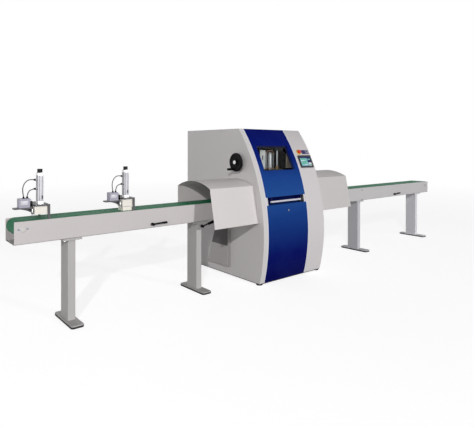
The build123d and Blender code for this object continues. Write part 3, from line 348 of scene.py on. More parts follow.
floor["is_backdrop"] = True
print("floor:", 2 * FLOOR_HALF, "m wide")

# %% [markdown]
# ## Lamps
# Two shadows in the picture show where the light came from. The infeed hood throws one on the housing, so
# there is a small lamp high behind the camera, on the infeed side. The same hood throws one on the beam,
# so a second light comes from the front, a little to the right of square. It is far away and lights the
# whole front evenly, which a sun lamp does best.

# %% Lamps
LEFT_TARGET, LEFT_FAR = Vector((-1.2, -0.67, 0.7)), 12.0
LEFT_TRAVEL = Vector((0.64, 0.66, -0.40)).normalized()
LEFT_POWER, LEFT_SIZE, LEFT_COLOUR = 2200, 0.14, (1.0, 0.985, 0.98)
FRONT_TRAVEL = Vector((-0.30, 0.95, -0.12))
FRONT_POWER, FRONT_SPREAD = 1.36, math.radians(4)


def lamp(name, kind, power):
    """A lamp in the scene."""
    piece = bpy.data.objects.new(name, bpy.data.lights.new(name, kind))
    piece.data.energy = power
    scene.collection.objects.link(piece)
    return piece


left_lamp = lamp("left_lamp", "POINT", LEFT_POWER)
left_lamp.data.shadow_soft_size, left_lamp.data.color = LEFT_SIZE, LEFT_COLOUR
left_lamp.location = LEFT_TARGET - LEFT_TRAVEL * LEFT_FAR
front_lamp = lamp("front_lamp", "SUN", FRONT_POWER)
front_lamp.data.angle = FRONT_SPREAD
front_lamp.rotation_euler = FRONT_TRAVEL.to_track_quat("-Z", "Y").to_euler()
print("lamps:", left_lamp.name, "and", front_lamp.name)

# %% [markdown]
# ## Hose routes
# Each presser has two short air hoses between its cylinder and its valve. New routes could be drawn by
# eye, but the CAD has them already, as lists of short runs with a length and a heading each. The same
# lists are repeated here, so both models agree.

# %% Hose routes
PRESSER_X, PORT_OUT = {"outer": -3.09, "inner": -2.333}, 0.0359
HOSE_RUNS = {
    "upper": (1.215, ((40, 170), (42, 210), (45, 245), (42, 270), (36, 280))),
    "lower": (1.142, ((33, 185), (34, 225), (33, 262))),
}


def middle_of(name):
    """Middle of a node's box."""
    low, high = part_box(name)
    return (low + high) / 2


PRESSER_Y = middle_of("presser_cylinders").y


def hose_route(x, port, runs):
    """Points of a hose that leaves a cylinder port, in the plane of the ports; runs in mm and degrees."""
    points = [Vector((x - PORT_OUT, PRESSER_Y, port))]
    for length, heading in runs:
        turn = math.radians(heading)
        points.append(points[-1] + Vector((math.cos(turn), 0, math.sin(turn))) * length / 1000)
    return points


for port, (height, runs) in HOSE_RUNS.items():
    print(port, "hose leaves its port", height, "m up and has", len(runs), "runs")

# %% [markdown]
# ## Air hoses
# The hoses could be swept as meshes, but they are free hoses held at both ends. So each is one smooth NURBS
# line along the points of its route, with a round section, and its ends are closed. It takes the place of the
# plain hose in the CAD.

# %% Air hoses
HOSE_RADIUS, HOSE_LENGTH = 0.004, {"upper": 0.2017, "lower": 0.0977}
HOSE_ORDER, HOSE_STEPS, HOSE_ROUND, CAP_JOIN = 3, 16, 5, 0.00002


def hose_line(name, points):
    """One smooth NURBS line with a round section, whose radius is kept in its points."""
    line = bpy.data.curves.new(name, "CURVE")
    line.dimensions = "3D"
    spline = line.splines.new("NURBS")
    spline.points.add(len(points) - 1)
    for point, spot in zip(spline.points, points):
        point.co, point.radius = (*spot, 1), HOSE_RADIUS
    spline.order_u, spline.resolution_u, spline.use_endpoint_u = HOSE_ORDER, HOSE_STEPS, True
    line.bevel_depth, line.bevel_resolution, line.use_fill_caps = 1.0, HOSE_ROUND, True
    piece = bpy.data.objects.new(name, line)
    piece.modifiers.new("join_caps", "WELD").merge_threshold = CAP_JOIN
    scene.collection.objects.link(piece)
    return piece


hoses = []
for spot, x in PRESSER_X.items():
    for port, (height, runs) in HOSE_RUNS.items():
        points = hose_route(x, height, runs)
        hose = hose_line(f"{spot}_{port}_hose", points)
        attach(hose, "machine")
        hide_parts(f"presser_hoses_{spot}")
        hoses.append(hose)
print("hoses:", len(hoses))

# %% [markdown]
# ## Paint
# Sheet steel like this is powder coated. Up close it has a fine orange peel, its gloss varies a little,
# and the colour drifts by a per cent or two. On folded edges it wears lighter. An image of worn paint
# would do for one view, but nodes stay sharp at any distance, so each paint is a recipe with a second one
# for the rounded edges.

# %% Paint recipes
CHIP_METAL = (0.42, 0.42, 0.43)


def paint(name, colour, roughness=0.46, peel=1.0, drift=0.03, gloss=0.16):
    """Powder coat: slow drift in the colour, uneven gloss and a fine orange peel."""
    coat = Finish(name)
    tone = coat.blend(coat.noise(2.3, 3), shade(colour, 1 - drift), shade(colour, 1 + drift))
    rubbed = coat.range(coat.noise(38, 4, (1, 1, 0.3)), 0.60, 0.78, 0.0, 0.10)
    coat.set(Base_Color=coat.blend(rubbed, tone, shade(colour, 0.80)))
    coat.set(Roughness=coat.wander(11, 3, roughness - 0.05, roughness + 0.07))
    coat.set(Specular_IOR_Level=gloss)
    coat.bump(coat.noise(620, 2), depth=0.00005 * peel, strength=0.5)
    return coat


def worn_edge(name, colour, under=CHIP_METAL):
    """Paint on a rounded edge: lighter, polished by hands, with small chips down to the metal."""
    coat = Finish(name)
    chips = coat.range(coat.noise(210, 5, distortion=0.6), 0.66, 0.72, 0.0, 0.75)
    coat.set(Base_Color=coat.blend(chips, shade(colour, 1.10), under))
    coat.set(Metallic=coat.math("MULTIPLY", chips, 0.7))
    coat.set(Roughness=coat.wander(60, 3, 0.28, 0.42))
    return coat


def overlay(coat, factor, colour, mode="MIX"):
    """Lay another colour over what a finish has."""
    base = coat.shader.inputs["Base Color"]
    coat.link(coat.blend(factor, base.links[0].from_socket, colour, mode), base)


def paint_light_and_shade_along(coat, letter, start, stop, first, last):
    """Painted light and shade along one axis: the colour is scaled from a first share to a last one."""
    overlay(coat, 1.0, coat.range(coat.axis(letter), start, stop, first, last), "MULTIPLY")


print("paint recipes ready")

# %% [markdown]
# ## Blue gloss
# The hood and the lower cover are deep blue. On the real front the blue is light across the middle and almost
# navy above and below, from the light and the reflections on its gloss. Here the surround is white, so a real
# mirror gloss would look pale there. So the paint itself carries painted light, painted reflection and
# painted shade, as a ramp over the height, and the finger recess gets painted shade.

# %% Blue gloss
# The recess blue is painted shade.
RECESS_LOW, RECESS_HIGH, RECESS_PAINTED_SHADE = 0.8535, 0.9365, srgb(4, 8, 66)
MACHINE_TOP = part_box("top_cover")[1].z
# Painted light, reflection and shade: light across the middle, near navy at the foot and at the top.
BLUES_WITH_PAINTED_LIGHT = (
    (0.00, srgb(4, 5, 76)), (0.18, srgb(6, 15, 96)), (0.42, srgb(24, 61, 132)), (0.56, srgb(36, 79, 148)),
    (0.68, srgb(29, 68, 141)), (0.80, srgb(8, 27, 113)), (1.00, srgb(0, 9, 96)),
)


def blue_gloss(name):
    """Deep blue gloss paint with painted light and shade as a ramp over the height, and painted shade in the
    recess.
    """
    coat = Finish(name)
    tall = coat.axis("Z")
    blue = coat.ramp(coat.range(tall, 0.0, MACHINE_TOP, 0.0, 1.0), BLUES_WITH_PAINTED_LIGHT)
    above, below = coat.math("GREATER_THAN", tall, RECESS_LOW), coat.math("LESS_THAN", tall, RECESS_HIGH)
    blue = coat.blend(coat.math("MULTIPLY", above, below), blue, RECESS_PAINTED_SHADE)
    fleck = coat.wander(5, 4, 0.0, 1.0)
    coat.set(Base_Color=coat.blend(fleck, blue, coat.blend(0.04, blue, srgb(70, 100, 170))))
    coat.set(Roughness=coat.wander(17, 3, 0.26, 0.34))
    coat.set(Specular_IOR_Level=0.015, Specular_Tint=(0.05, 0.14, 0.75))
    coat.bump(coat.noise(300, 2), depth=0.00003, strength=0.4)
    return coat


print("blue gloss:", len(BLUES_WITH_PAINTED_LIGHT), "steps up to", round(MACHINE_TOP, 3), "m")

# %% [markdown]
# ## Paint colours
# The housing, the hoods, the beams and the legs are nearly the same light grey, but each has its own paint,
# whose grey is partly its own tone and partly painted light and shade for how it catches the light. The white
# front and the sheet hoods also get painted shade: they get darker slowly along one direction.

# %% Paint colours
HOUSING_GREY, HOUSING_WHITE, HOOD_WHITE = srgb(213, 210, 210), srgb(217, 213, 214), srgb(219, 215, 214)
BEAM_GREY, LEG_GREY, FRAME_DARK = srgb(201, 196, 196), srgb(182, 180, 179), srgb(74, 75, 78)
BRACKET_GREY, VALVE_LILAC = srgb(92, 92, 95), srgb(168, 165, 180)
FRONT_PAINTED_SHADE, HOOD_PAINTED_SHADE = (1.22, 1.66, 1.0, 0.84), (-0.95, 0.10, 1.0, 0.90)
finishes = {
    "housing_grey": paint("housing_grey_paint", HOUSING_GREY),
    "housing_white": paint("housing_white_paint", HOUSING_WHITE, gloss=0.07),
    "hood_white": paint("hood_white_paint", HOOD_WHITE, roughness=0.40, gloss=0.05),
    "beam_grey": paint("beam_grey_paint", BEAM_GREY, roughness=0.44),
    "leg_grey": paint("leg_grey_paint", LEG_GREY, roughness=0.48, peel=1.4),
    "frame_dark": paint("frame_dark_paint", FRAME_DARK, roughness=0.5, peel=1.5, drift=0.08),
    "valve_lilac": paint("valve_lilac_paint", VALVE_LILAC, roughness=0.36, peel=0.6),
    "hood_blue": blue_gloss("hood_blue_gloss_painted_light"),
}
EDGE_COLOURS = {
    "housing_grey": HOUSING_GREY, "housing_white": HOUSING_WHITE, "hood_white": HOOD_WHITE,
    "beam_grey": BEAM_GREY, "leg_grey": LEG_GREY, "frame_dark": shade(FRAME_DARK, 1.3),
}
edges = {name: worn_edge(name + "_edge", colour) for name, colour in EDGE_COLOURS.items()}
edges["hood_blue"] = worn_edge("hood_blue_edge", srgb(52, 82, 158), under=(0.30, 0.33, 0.42))
# Painted shade: the white front darkens towards the top, and the outfeed hood is darker than the infeed hood.
paint_light_and_shade_along(finishes["housing_white"], "Z", *FRONT_PAINTED_SHADE)
paint_light_and_shade_along(finishes["hood_white"], "X", *HOOD_PAINTED_SHADE)
print("paints:", len(finishes), "with", len(edges), "worn edges")

# %% [markdown]
# ## Metals
# Metal shows how it was made: turned and ground parts carry fine lines, a casting is rough, and drawn
# aluminium has lines along its length. All of that could be modelled, but it is finer than a hair, so it
# goes into roughness and bump.

# %% Metal recipes
def brushed(name, colour, roughness, stretch):
    """Metal with fine lines; the stretch squeezes the noise across the lines."""
    metal = Finish(name)
    lines = metal.noise(180, 3, stretch)
    metal.set(Base_Color=metal.blend(metal.noise(14, 4), shade(colour, 0.90), shade(colour, 1.06)))
    metal.set(Metallic=1.0, Roughness=metal.range(lines, 0.25, 0.75, roughness - 0.08, roughness + 0.10))
    metal.bump(lines, depth=0.00002, strength=0.6)
    return metal


def casting(name, colour):
    """Painted casting: sand-rough skin with darker hollows."""
    metal = Finish(name)
    sand = metal.noise(230, 5)
    metal.set(Base_Color=metal.blend(sand, shade(colour, 0.78), shade(colour, 1.15)))
    metal.set(Metallic=0.0, Roughness=metal.range(sand, 0.3, 0.7, 0.48, 0.62))
    metal.bump(sand, depth=0.00035, strength=0.7)
    return metal


print("metal recipes ready")

# %% [markdown]
# ## Zinc sheet and table iron
# Two metals need a recipe of their own. Galvanised sheet shows flat crystals, which are cells with a
# random tone each. The table is grey iron, ground along the feed and rubbed darker by chips, so its lines
# run far along X.

# %% Zinc sheet and table iron
def zinc_sheet(name):
    """Galvanised sheet with its flat crystals, each tilted a little."""
    metal = Finish(name)
    crystal = metal.node("RGBToBW")
    metal.link(metal.cells(85, output="Color"), crystal.inputs[0])
    grain = crystal.outputs[0]
    metal.set(Base_Color=metal.blend(grain, (0.42, 0.43, 0.44), (0.64, 0.65, 0.66)))
    metal.set(Metallic=0.9, Roughness=metal.range(grain, 0.1, 0.8, 0.34, 0.52))
    metal.bump(metal.cells(85), depth=0.00006, strength=0.4)
    return metal


def ground_iron(name):
    """Table top of grey iron: ground along the feed, darker where chips have rubbed it."""
    metal = Finish(name)
    lines = metal.noise(260, 4, (0.04, 1, 1))
    metal.set(Base_Color=metal.blend(metal.noise(6, 4), (0.26, 0.26, 0.27), (0.42, 0.42, 0.42)))
    metal.set(Metallic=0.85, Roughness=metal.range(lines, 0.2, 0.8, 0.26, 0.44))
    metal.bump(lines, depth=0.00003, strength=0.6)
    return metal


LINES_X, LINES_Z, LINES_ROUND = (0.06, 1, 1), (1, 1, 0.04), (1, 0.3, 0.3)
finishes.update({
    "machined_steel": brushed("machined_steel", (0.60, 0.60, 0.61), 0.30, LINES_X),
    "blade_steel": brushed("blade_steel", (0.66, 0.66, 0.67), 0.24, LINES_ROUND),
    "cylinder_silver": brushed("cylinder_silver", (0.80, 0.80, 0.81), 0.34, LINES_Z),
    "cast_grey": casting("cast_grey", srgb(112, 115, 118)),
    "table_iron": ground_iron("table_iron"),
    "duct_zinc": zinc_sheet("duct_zinc"),
})
print("metals added, finishes now:", len(finishes))

# %% [markdown]
# ## Plastic and rubber
# The wheel, the buttons and the valves are moulded plastic with a faint grain from the mould. Rubber is
# dull and holds dust. The two differ most in how evenly they shine, so the recipes put their detail
# there.

# %% Plastic and rubber
DUST = (0.22, 0.21, 0.20)


def moulded(name, colour, roughness=0.38, grain=0.00002, gloss=0.5):
    """Moulded plastic with a fine spark-eroded grain."""
    skin = Finish(name)
    speck = skin.noise(900, 2)
    skin.set(Base_Color=skin.blend(skin.noise(20, 3), shade(colour, 0.92), shade(colour, 1.08)))
    skin.set(Roughness=skin.range(speck, 0.3, 0.7, roughness - 0.05, roughness + 0.06))
    skin.set(Specular_IOR_Level=gloss)
    skin.bump(speck, depth=grain, strength=0.5)
    return skin


def rubber(name, colour, dust):
    """Dull rubber with dust held in its grain."""
    skin = Finish(name)
    held = skin.range(skin.noise(55, 5), 0.45, 0.75, 0.0, dust)
    skin.set(Base_Color=skin.blend(held, colour, DUST), Specular_IOR_Level=0.3)
    skin.set(Roughness=skin.wander(90, 3, 0.62, 0.8))
    skin.bump(skin.noise(420, 3), depth=0.00012, strength=0.6)
    return skin


finishes.update({
    "black_plastic": moulded("black_plastic", srgb(14, 13, 14), 0.42, grain=0.00004, gloss=0.07),
    "stop_red": moulded("stop_red", srgb(214, 52, 18), 0.26),
    "button_blue": moulded("button_blue", srgb(52, 40, 120), 0.28),
    "ring_yellow": moulded("ring_yellow", srgb(236, 196, 40), 0.32),
    "shoe_cream": moulded("shoe_cream", srgb(236, 231, 221), 0.5, grain=0.00008),
    "hose_grey": moulded("hose_grey", srgb(58, 58, 64), 0.34),
    "pad_rubber": rubber("pad_rubber", (0.035, 0.035, 0.036), dust=0.25),
    "drive_rubber": rubber("drive_rubber", (0.02, 0.02, 0.02), dust=0.1),
})
print("plastic and rubber added, finishes now:", len(finishes))

# %% [markdown]
# ## Belt, window and screen glass
# The conveyor belt has a fine woven cover, polished in streaks along the feed. The window is clear
# plastic with a little haze from wiping, and the touch screen is dark glass with smears. Two crossed
# waves make the weave, and stretched noise makes the streaks.

# %% Belt, window and screen glass
BELT_DUST = srgb(120, 160, 128)


def belt_cover(name, colour):
    """Conveyor belt: small diamond weave, with dull and polished streaks along the feed."""
    skin = Finish(name)
    one_way, other_way = (skin.waves(150, "DIAGONAL", (1, way, 0)) for way in (1, -1))
    streak = skin.noise(24, 4, (0.02, 1, 0.02))
    dust = skin.range(skin.noise(5, 5, (0.4, 1, 1)), 0.5, 0.8, 0.0, 0.35)
    tone = skin.blend(streak, shade(colour, 0.80), shade(colour, 1.18))
    skin.set(Base_Color=skin.blend(dust, tone, BELT_DUST), Specular_IOR_Level=0.10)
    skin.set(Roughness=skin.range(streak, 0.3, 0.7, 0.48, 0.64))
    skin.bump(skin.math("MULTIPLY", one_way, other_way), depth=0.00025, strength=0.6)
    return skin


def clear_pane(name):
    """Clear plastic window with faint wiping marks."""
    skin = Finish(name)
    wipe = skin.noise(9, 5, (1, 1, 0.5), 1.5)
    skin.set(Base_Color=(0.93, 0.955, 0.965), Transmission_Weight=1.0, IOR=1.12)
    skin.set(Roughness=skin.range(wipe, 0.5, 0.75, 0.01, 0.07))
    return skin


def screen_glass(name):
    """Dark touch glass with finger smears in its gloss."""
    skin = Finish(name)
    smear = skin.noise(32, 4, (1, 1, 0.5), 0.8)
    skin.set(Base_Color=skin.blend(smear, (0.004, 0.004, 0.006), (0.012, 0.012, 0.016)))
    skin.set(Roughness=skin.range(smear, 0.4, 0.75, 0.08, 0.24), Specular_IOR_Level=0.5)
    return skin


finishes.update({
    "belt_green": belt_cover("belt_green", srgb(16, 112, 74)),
    "pane_clear": clear_pane("pane_clear"),
    "screen_black": screen_glass("screen_black"),
})
print("belt and glass added, finishes now:", len(finishes))

# %% [markdown]
# ## Presser brackets
# A presser's portal is dark grey, but the guide box in it is cream plastic. In the CAD they are one node,
# so the paint tells them apart by their place: near the cylinder's axis and below the portal plate it
# changes to cream.

# %% Presser brackets
GUIDE_SHIFT, GUIDE_HALF, GUIDE_TOP, GUIDE_CREAM = -0.0025, 0.0524, 1.00595, srgb(237, 233, 225)


def two_tone(name, first, second, mask):
    """A paint that changes to another where the mask is 1; the given function builds the mask."""
    coat = paint(name, first, roughness=0.42, peel=1.2, drift=0.06)
    overlay(coat, mask(coat), second)
    return coat


def nearest(coat, gaps):
    """The smallest of several distances."""
    least = gaps[0]
    for gap in gaps[1:]:
        least = coat.math("MINIMUM", least, gap)
    return least


def guide_boxes(coat):
    """1 on the guide boxes of the pressers, 0 on their portals and shelves."""
    x, y, z = (coat.axis(letter) for letter in "XYZ")
    middles = [place + GUIDE_SHIFT for place in PRESSER_X.values()]
    away = nearest(coat, [coat.math("ABSOLUTE", coat.math("SUBTRACT", x, middle)) for middle in middles])
    side = coat.math("ABSOLUTE", coat.math("SUBTRACT", y, PRESSER_Y))
    inside = coat.math("LESS_THAN", coat.math("MAXIMUM", away, side), GUIDE_HALF)
    return coat.math("MULTIPLY", inside, coat.math("LESS_THAN", z, GUIDE_TOP))


finishes["bracket_grey"] = two_tone("bracket_grey_paint", BRACKET_GREY, GUIDE_CREAM, guide_boxes)
print("finishes:", len(finishes))

# %% [markdown]
# ## Dressing the CAD nodes
# Each node takes the finish that the record names for it. Sheet and plate never have a knife edge, so the
# nodes also get rounded edges. Rounding could be cut into the CAD, which would make it heavy. The mesh
# stays as it is instead: four modifiers join its triangles, clear the flat faces, round the edges that
# turn sharply, and let the large faces decide the shading.

# %% Finishes and rounded edges on the CAD nodes
USUAL_ROUND = 0.9
EDGE_ROUND = {
    "infeed_side_panel": 1.2, "outfeed_side_panel": 1.2, "hood_door": 1.2, "lower_front_panel": 1.2,
    "infeed_hood": 1.0, "outfeed_hood": 1.0, "infeed_beam": 1.4, "outfeed_beam": 1.4, "top_cover": 1.2,
    "infeed_legs": 1.5, "outfeed_legs": 1.5, "touch_screen": 1.5, "stop_button": 0.6, "start_button": 1.2,
    "saw_blade": 0.25, "window_pane": 0.5, "drive_belt": 0.8, "infeed_belt": 0.8, "outfeed_belt": 0.8,
}
POINT_JOIN, FLAT_ANGLE, SHARP_ANGLE = 0.00002, math.radians(0.3), math.radians(35)
slot_of = {part["node"]: part["material_slot"] for part in frame["record"]["subparts"]}


def round_edges(piece, width, edge_slot):
    """Join, flatten, round and shade a piece without touching its mesh; the width is in mm."""
    piece.modifiers.new("join", "WELD").merge_threshold = POINT_JOIN
    flat = piece.modifiers.new("flat", "DECIMATE")
    flat.decimate_type, flat.angle_limit = "DISSOLVE", FLAT_ANGLE
    turn = piece.modifiers.new("round", "BEVEL")
    turn.width, turn.segments, turn.limit_method = width / 1000, 2, "ANGLE"
    turn.angle_limit, turn.material = SHARP_ANGLE, edge_slot
    piece.modifiers.new("shade", "WEIGHTED_NORMAL").keep_sharp = False


for name, piece in nodes.items():
    slot = slot_of[name]
    piece.data.materials.clear()
    piece.data.materials.append(finishes[slot].holder)
    if slot in edges:
        piece.data.materials.append(edges[slot].holder)
    round_edges(piece, EDGE_ROUND.get(name, USUAL_ROUND), 1 if slot in edges else -1)
for hose in hoses:
    hose.data.materials.append(finishes["hose_grey"].holder)
print("dressed", len(nodes), "nodes")

# %% [markdown]
# ## Foam and lit screen
# Inside the housing black foam deadens the sound, and the touch screen is lit from behind. Foam could be
# modelled lump by lump, which would be heavy, so soft cells make its lumps, and painted shade darkens their
# hollows. The screen's fields shine by themselves, and fine lines stand for their pixels.

# %% Foam and lit screen
def foam(name, colour):
    """Open foam: rows of soft lumps, with painted shade that makes the hollows black."""
    skin = Finish(name)
    lumps = skin.cells(32, feature="SMOOTH_F1")
    # Painted shade: the deeper in a hollow, the darker the foam.
    deep = skin.range(lumps, 0.1, 0.6, 0.0, 1.0)
    skin.set(Base_Color=skin.blend(deep, shade(colour, 1.6), shade(colour, 0.5)), Specular_IOR_Level=0.05)
    skin.set(Roughness=skin.wander(300, 3, 0.85, 1.0))
    skin.bump(lumps, depth=-0.006, strength=0.8)
    skin.bump(skin.noise(700, 3), depth=0.0004, strength=0.7)
    return skin


def lit_glass(name, colour):
    """A field of a lit screen: fine lines of pixels under glass."""
    skin = Finish(name)
    lines = skin.range(skin.waves(260, "Z"), 0.0, 1.0, 0.86, 1.0)
    skin.set(Base_Color=skin.blend(lines, shade(colour, 0.30), shade(colour, 0.40)))
    skin.set(Emission_Color=skin.blend(lines, shade(colour, 0.8), colour), Emission_Strength=0.55)
    skin.set(Roughness=skin.wander(30, 3, 0.16, 0.28), Specular_IOR_Level=0.2)
    return skin


SCREEN_FIELDS = {
    "screen_navy": srgb(22, 46, 108), "screen_header": srgb(14, 22, 84), "screen_cyan": srgb(122, 194, 196),
    "screen_green": srgb(84, 172, 128), "screen_white": srgb(214, 224, 230),
}
finishes.update({name: lit_glass(name, colour) for name, colour in SCREEN_FIELDS.items()})
finishes["foam_black"] = foam("foam_black", (0.016, 0.016, 0.018))
print("screen fields:", len(SCREEN_FIELDS))

# %% [markdown]
# ## Finishes of small parts
# The small parts that come next need a few more finishes: bronze bushes, brass fittings, copper pipe,
# zinc and nickel screws, a pale edge trim, painted plates and moulded keys. They could each have a
# recipe, but the ones above do, with another colour and another grain.

# %% Finishes of small parts
FINE_Z = (1, 1, 0.1)
finishes.update({
    "bronze": brushed("bronze", (0.42, 0.26, 0.12), 0.36, FINE_Z),
    "brass": brushed("brass", (0.66, 0.50, 0.24), 0.28, (0.2, 1, 1)),
    "copper": brushed("copper", (0.62, 0.34, 0.21), 0.30, (0.1, 1, 1)),
    "zinc_screw": brushed("zinc_screw", (0.52, 0.52, 0.53), 0.34, EVENLY),
    "dark_nickel": brushed("dark_nickel", (0.20, 0.21, 0.25), 0.36, EVENLY),
    "pale_alloy": brushed("pale_alloy", (0.72, 0.72, 0.73), 0.42, FINE_Z),
    # Pale trim colour, which also paints the highlight of the folded edge.
    "trim_white_painted_highlight": paint("trim_white_painted_highlight", srgb(222, 224, 236), roughness=0.36, peel=0.5, drift=0.02),
    "screw_paint": paint("screw_paint", srgb(204, 201, 200), roughness=0.4, peel=0.4),
    "beige_plate": paint("beige_plate", srgb(244, 228, 200), roughness=0.45, drift=0.06),
    "light_plate": paint("light_plate", srgb(208, 208, 204), roughness=0.42, peel=0.8, drift=0.05),
    "guard_grey": paint("guard_grey", srgb(180, 177, 176), roughness=0.48, peel=1.2, drift=0.05),
    # Painted shade of the vent's openings.
    "vent_painted_shade": paint("vent_painted_shade", srgb(104, 100, 101), roughness=0.55, peel=1.2, drift=0.08),
    # Painted shade for the narrow slots of the presser cylinders.
    "slot_painted_shade": paint("slot_painted_shade", srgb(146, 146, 156), roughness=0.5, peel=0.4, drift=0.05),
    "plate_violet": moulded("plate_violet", srgb(62, 48, 108), 0.34, grain=0.00003, gloss=0.2),
    "key_white": moulded("key_white", srgb(206, 206, 214), 0.4),
    "key_green": moulded("key_green", srgb(50, 140, 84), 0.4),
})
print("finishes with those of small parts:", len(finishes))

# %% [markdown]
# ## Cylinders, button rings and bar
# A few nodes differ from the finish of their slot in one place. The presser cylinders end in a black cap, the
# ring of the start button is dark, and the grab bar is pale, with its posts in the dark blue of the recess as
# painted shade. Splitting these nodes in the CAD would only be for looks, so a finish tells the places apart.

# %% Cylinders, button rings and bar
CAP_FROM, RING_SPLIT, BAR_TOP = 1.2699, -0.09, 0.8972
CAP_BLACK, RING_BLACK = (0.010, 0.010, 0.011), (0.03, 0.03, 0.04)
# The posts' dark blue is painted shade, as in the recess.
BAR_PALE, POST_PAINTED_SHADE = srgb(214, 213, 224), srgb(8, 14, 78)


def capped_cylinder(name):
    """Anodised cylinder profile with a black cap above its end plate."""
    metal = Finish(name)
    lines = metal.noise(180, 3, LINES_Z)
    cap = metal.math("GREATER_THAN", metal.axis("Z"), CAP_FROM)
    silver = metal.blend(metal.noise(9, 3), (0.42, 0.42, 0.445), (0.51, 0.51, 0.535))
    metal.set(Base_Color=metal.blend(cap, silver, CAP_BLACK), Metallic=metal.range(cap, 0.0, 1.0, 0.35, 0.0))
    metal.set(Roughness=metal.range(lines, 0.25, 0.75, 0.40, 0.56), Specular_IOR_Level=0.2)
    metal.bump(lines, depth=0.00002, strength=0.6)
    return metal


def split_rings(name):
    """Yellow ring of the stop button and dark ring of the start button, told apart by their place."""
    skin = Finish(name)
    right = skin.math("GREATER_THAN", skin.axis("X"), RING_SPLIT)
    yellow = skin.blend(skin.noise(40, 3), srgb(222, 176, 60), srgb(232, 190, 78))
    skin.set(Base_Color=skin.blend(right, yellow, RING_BLACK), Specular_IOR_Level=0.3)
    skin.set(Roughness=skin.wander(300, 2, 0.30, 0.42))
    return skin


def bar_posts(coat):
    """1 on the posts of the grab bar, which carry the painted shade of the recess, 0 on the bar itself."""
    return coat.math("GREATER_THAN", coat.axis("Z"), BAR_TOP)


single = {
    "presser_cylinders": capped_cylinder("capped_cylinder"),
    "button_rings": split_rings("split_rings"),
    "hood_handle": two_tone("grab_bar", BAR_PALE, POST_PAINTED_SHADE, bar_posts),
}
print("split finishes:", ", ".join(single))

# %% [markdown]
# ## Guide rods and other single nodes
# The bridge is painted, but the clamp beam slides on its two guide rods, so these are bare chromed steel.
# The finish finds them by their distance from the rods' axes. The other nodes here only take a finish that
# differs from their slot's: the guard and the latch, the outfeed beam and legs, whose lighter paint and drift
# along the feed are painted light and shade, and the feet, whose black also paints the shade under the
# housing.

# %% Guide rods and other single nodes
ROD_X, ROD_RADIUS, ROD_TOP, ROD_CHROME = (-0.610, -0.270), 0.0156, 1.4395, (0.78, 0.78, 0.80)
CLAMP_Y = middle_of("clamp_cylinders").y
LEG_PAINTED_LIGHT_AND_SHADE = (1.35, 2.90, 0.86, 1.17)


def bright_rods(name):
    """Dark painted bridge whose two guide rods are bare chromed steel."""
    metal = paint(name, FRAME_DARK, roughness=0.5, peel=1.5, drift=0.08)
    x, y, z = (metal.axis(letter) for letter in "XYZ")

    def squared(value, place):
        return metal.math("POWER", metal.math("SUBTRACT", value, place), 2.0)

    deep = squared(y, CLAMP_Y)
    away = nearest(metal, [metal.math("ADD", squared(x, place), deep) for place in ROD_X])
    near, below = metal.math("LESS_THAN", away, ROD_RADIUS ** 2), metal.math("LESS_THAN", z, ROD_TOP)
    rod = metal.math("MULTIPLY", near, below)
    overlay(metal, rod, ROD_CHROME)
    metal.set(Metallic=rod, Roughness=metal.range(rod, 0.0, 1.0, 0.5, 0.2))
    return metal


single.update({
    "upper_bridge": bright_rods("bridge_with_rods"),
    "drive_guard": finishes["guard_grey"],
    "cover_latch": finishes["dark_nickel"],
    # Painted light: lighter copies of the beam and leg paint for the outfeed beam and legs.
    "outfeed_beam": paint("outfeed_beam_painted_light", srgb(204, 202, 203), roughness=0.44),
    "outfeed_legs": paint("outfeed_legs_painted_light", srgb(216, 216, 221), peel=1.4),
    # Black feet, which also paint the shade under the housing's lower edge.
    "levelling_feet": finishes["drive_rubber"],
})
# Painted shade and light along the feed: the inner outfeed leg darker, the outer one lighter.
paint_light_and_shade_along(single["outfeed_legs"], "X", *LEG_PAINTED_LIGHT_AND_SHADE)
for name, coat in single.items():
    nodes[name].data.materials[0] = coat.holder
for name in ("outfeed_beam", "outfeed_legs"):
    nodes[name].data.materials[1] = edges["housing_grey"].holder
print("own finishes:", ", ".join(single))

# %% [markdown]
# ## Places and turns
# A small part is drawn once, at the origin and upright, and then put where it belongs. Turning it by
# three angles is easy to get wrong. A spot and the direction in which its own Z points say the same, so
# one function makes the matrix from these.

# %% Places and turns
HERE, UP = Matrix.Identity(4), Vector((0, 0, 1))


def aim(spot, way=UP):
    """Matrix that puts a shape's own Z along a direction, at a spot."""
    return Matrix.Translation(Vector(spot)) @ Vector(way).to_track_quat("Z", "Y").to_matrix().to_4x4()


def around(steps):
    """Angles that go once round, in even steps."""
    return [2 * math.pi * step / steps for step in range(steps)]


print("places and turns ready")

# %% [markdown]
# ## Shells of small parts
# Screws, fittings and trims are too small for the CAD, but a close view needs them. One object for each
# would make hundreds. Here a piece collects many closed shells in one mesh, keeps a finish for each, and
# rides on one body. Every shell is closed, because an open one leaves loose faces in an export.

# %% Shells of small parts
SMOOTH_UP_TO = 32


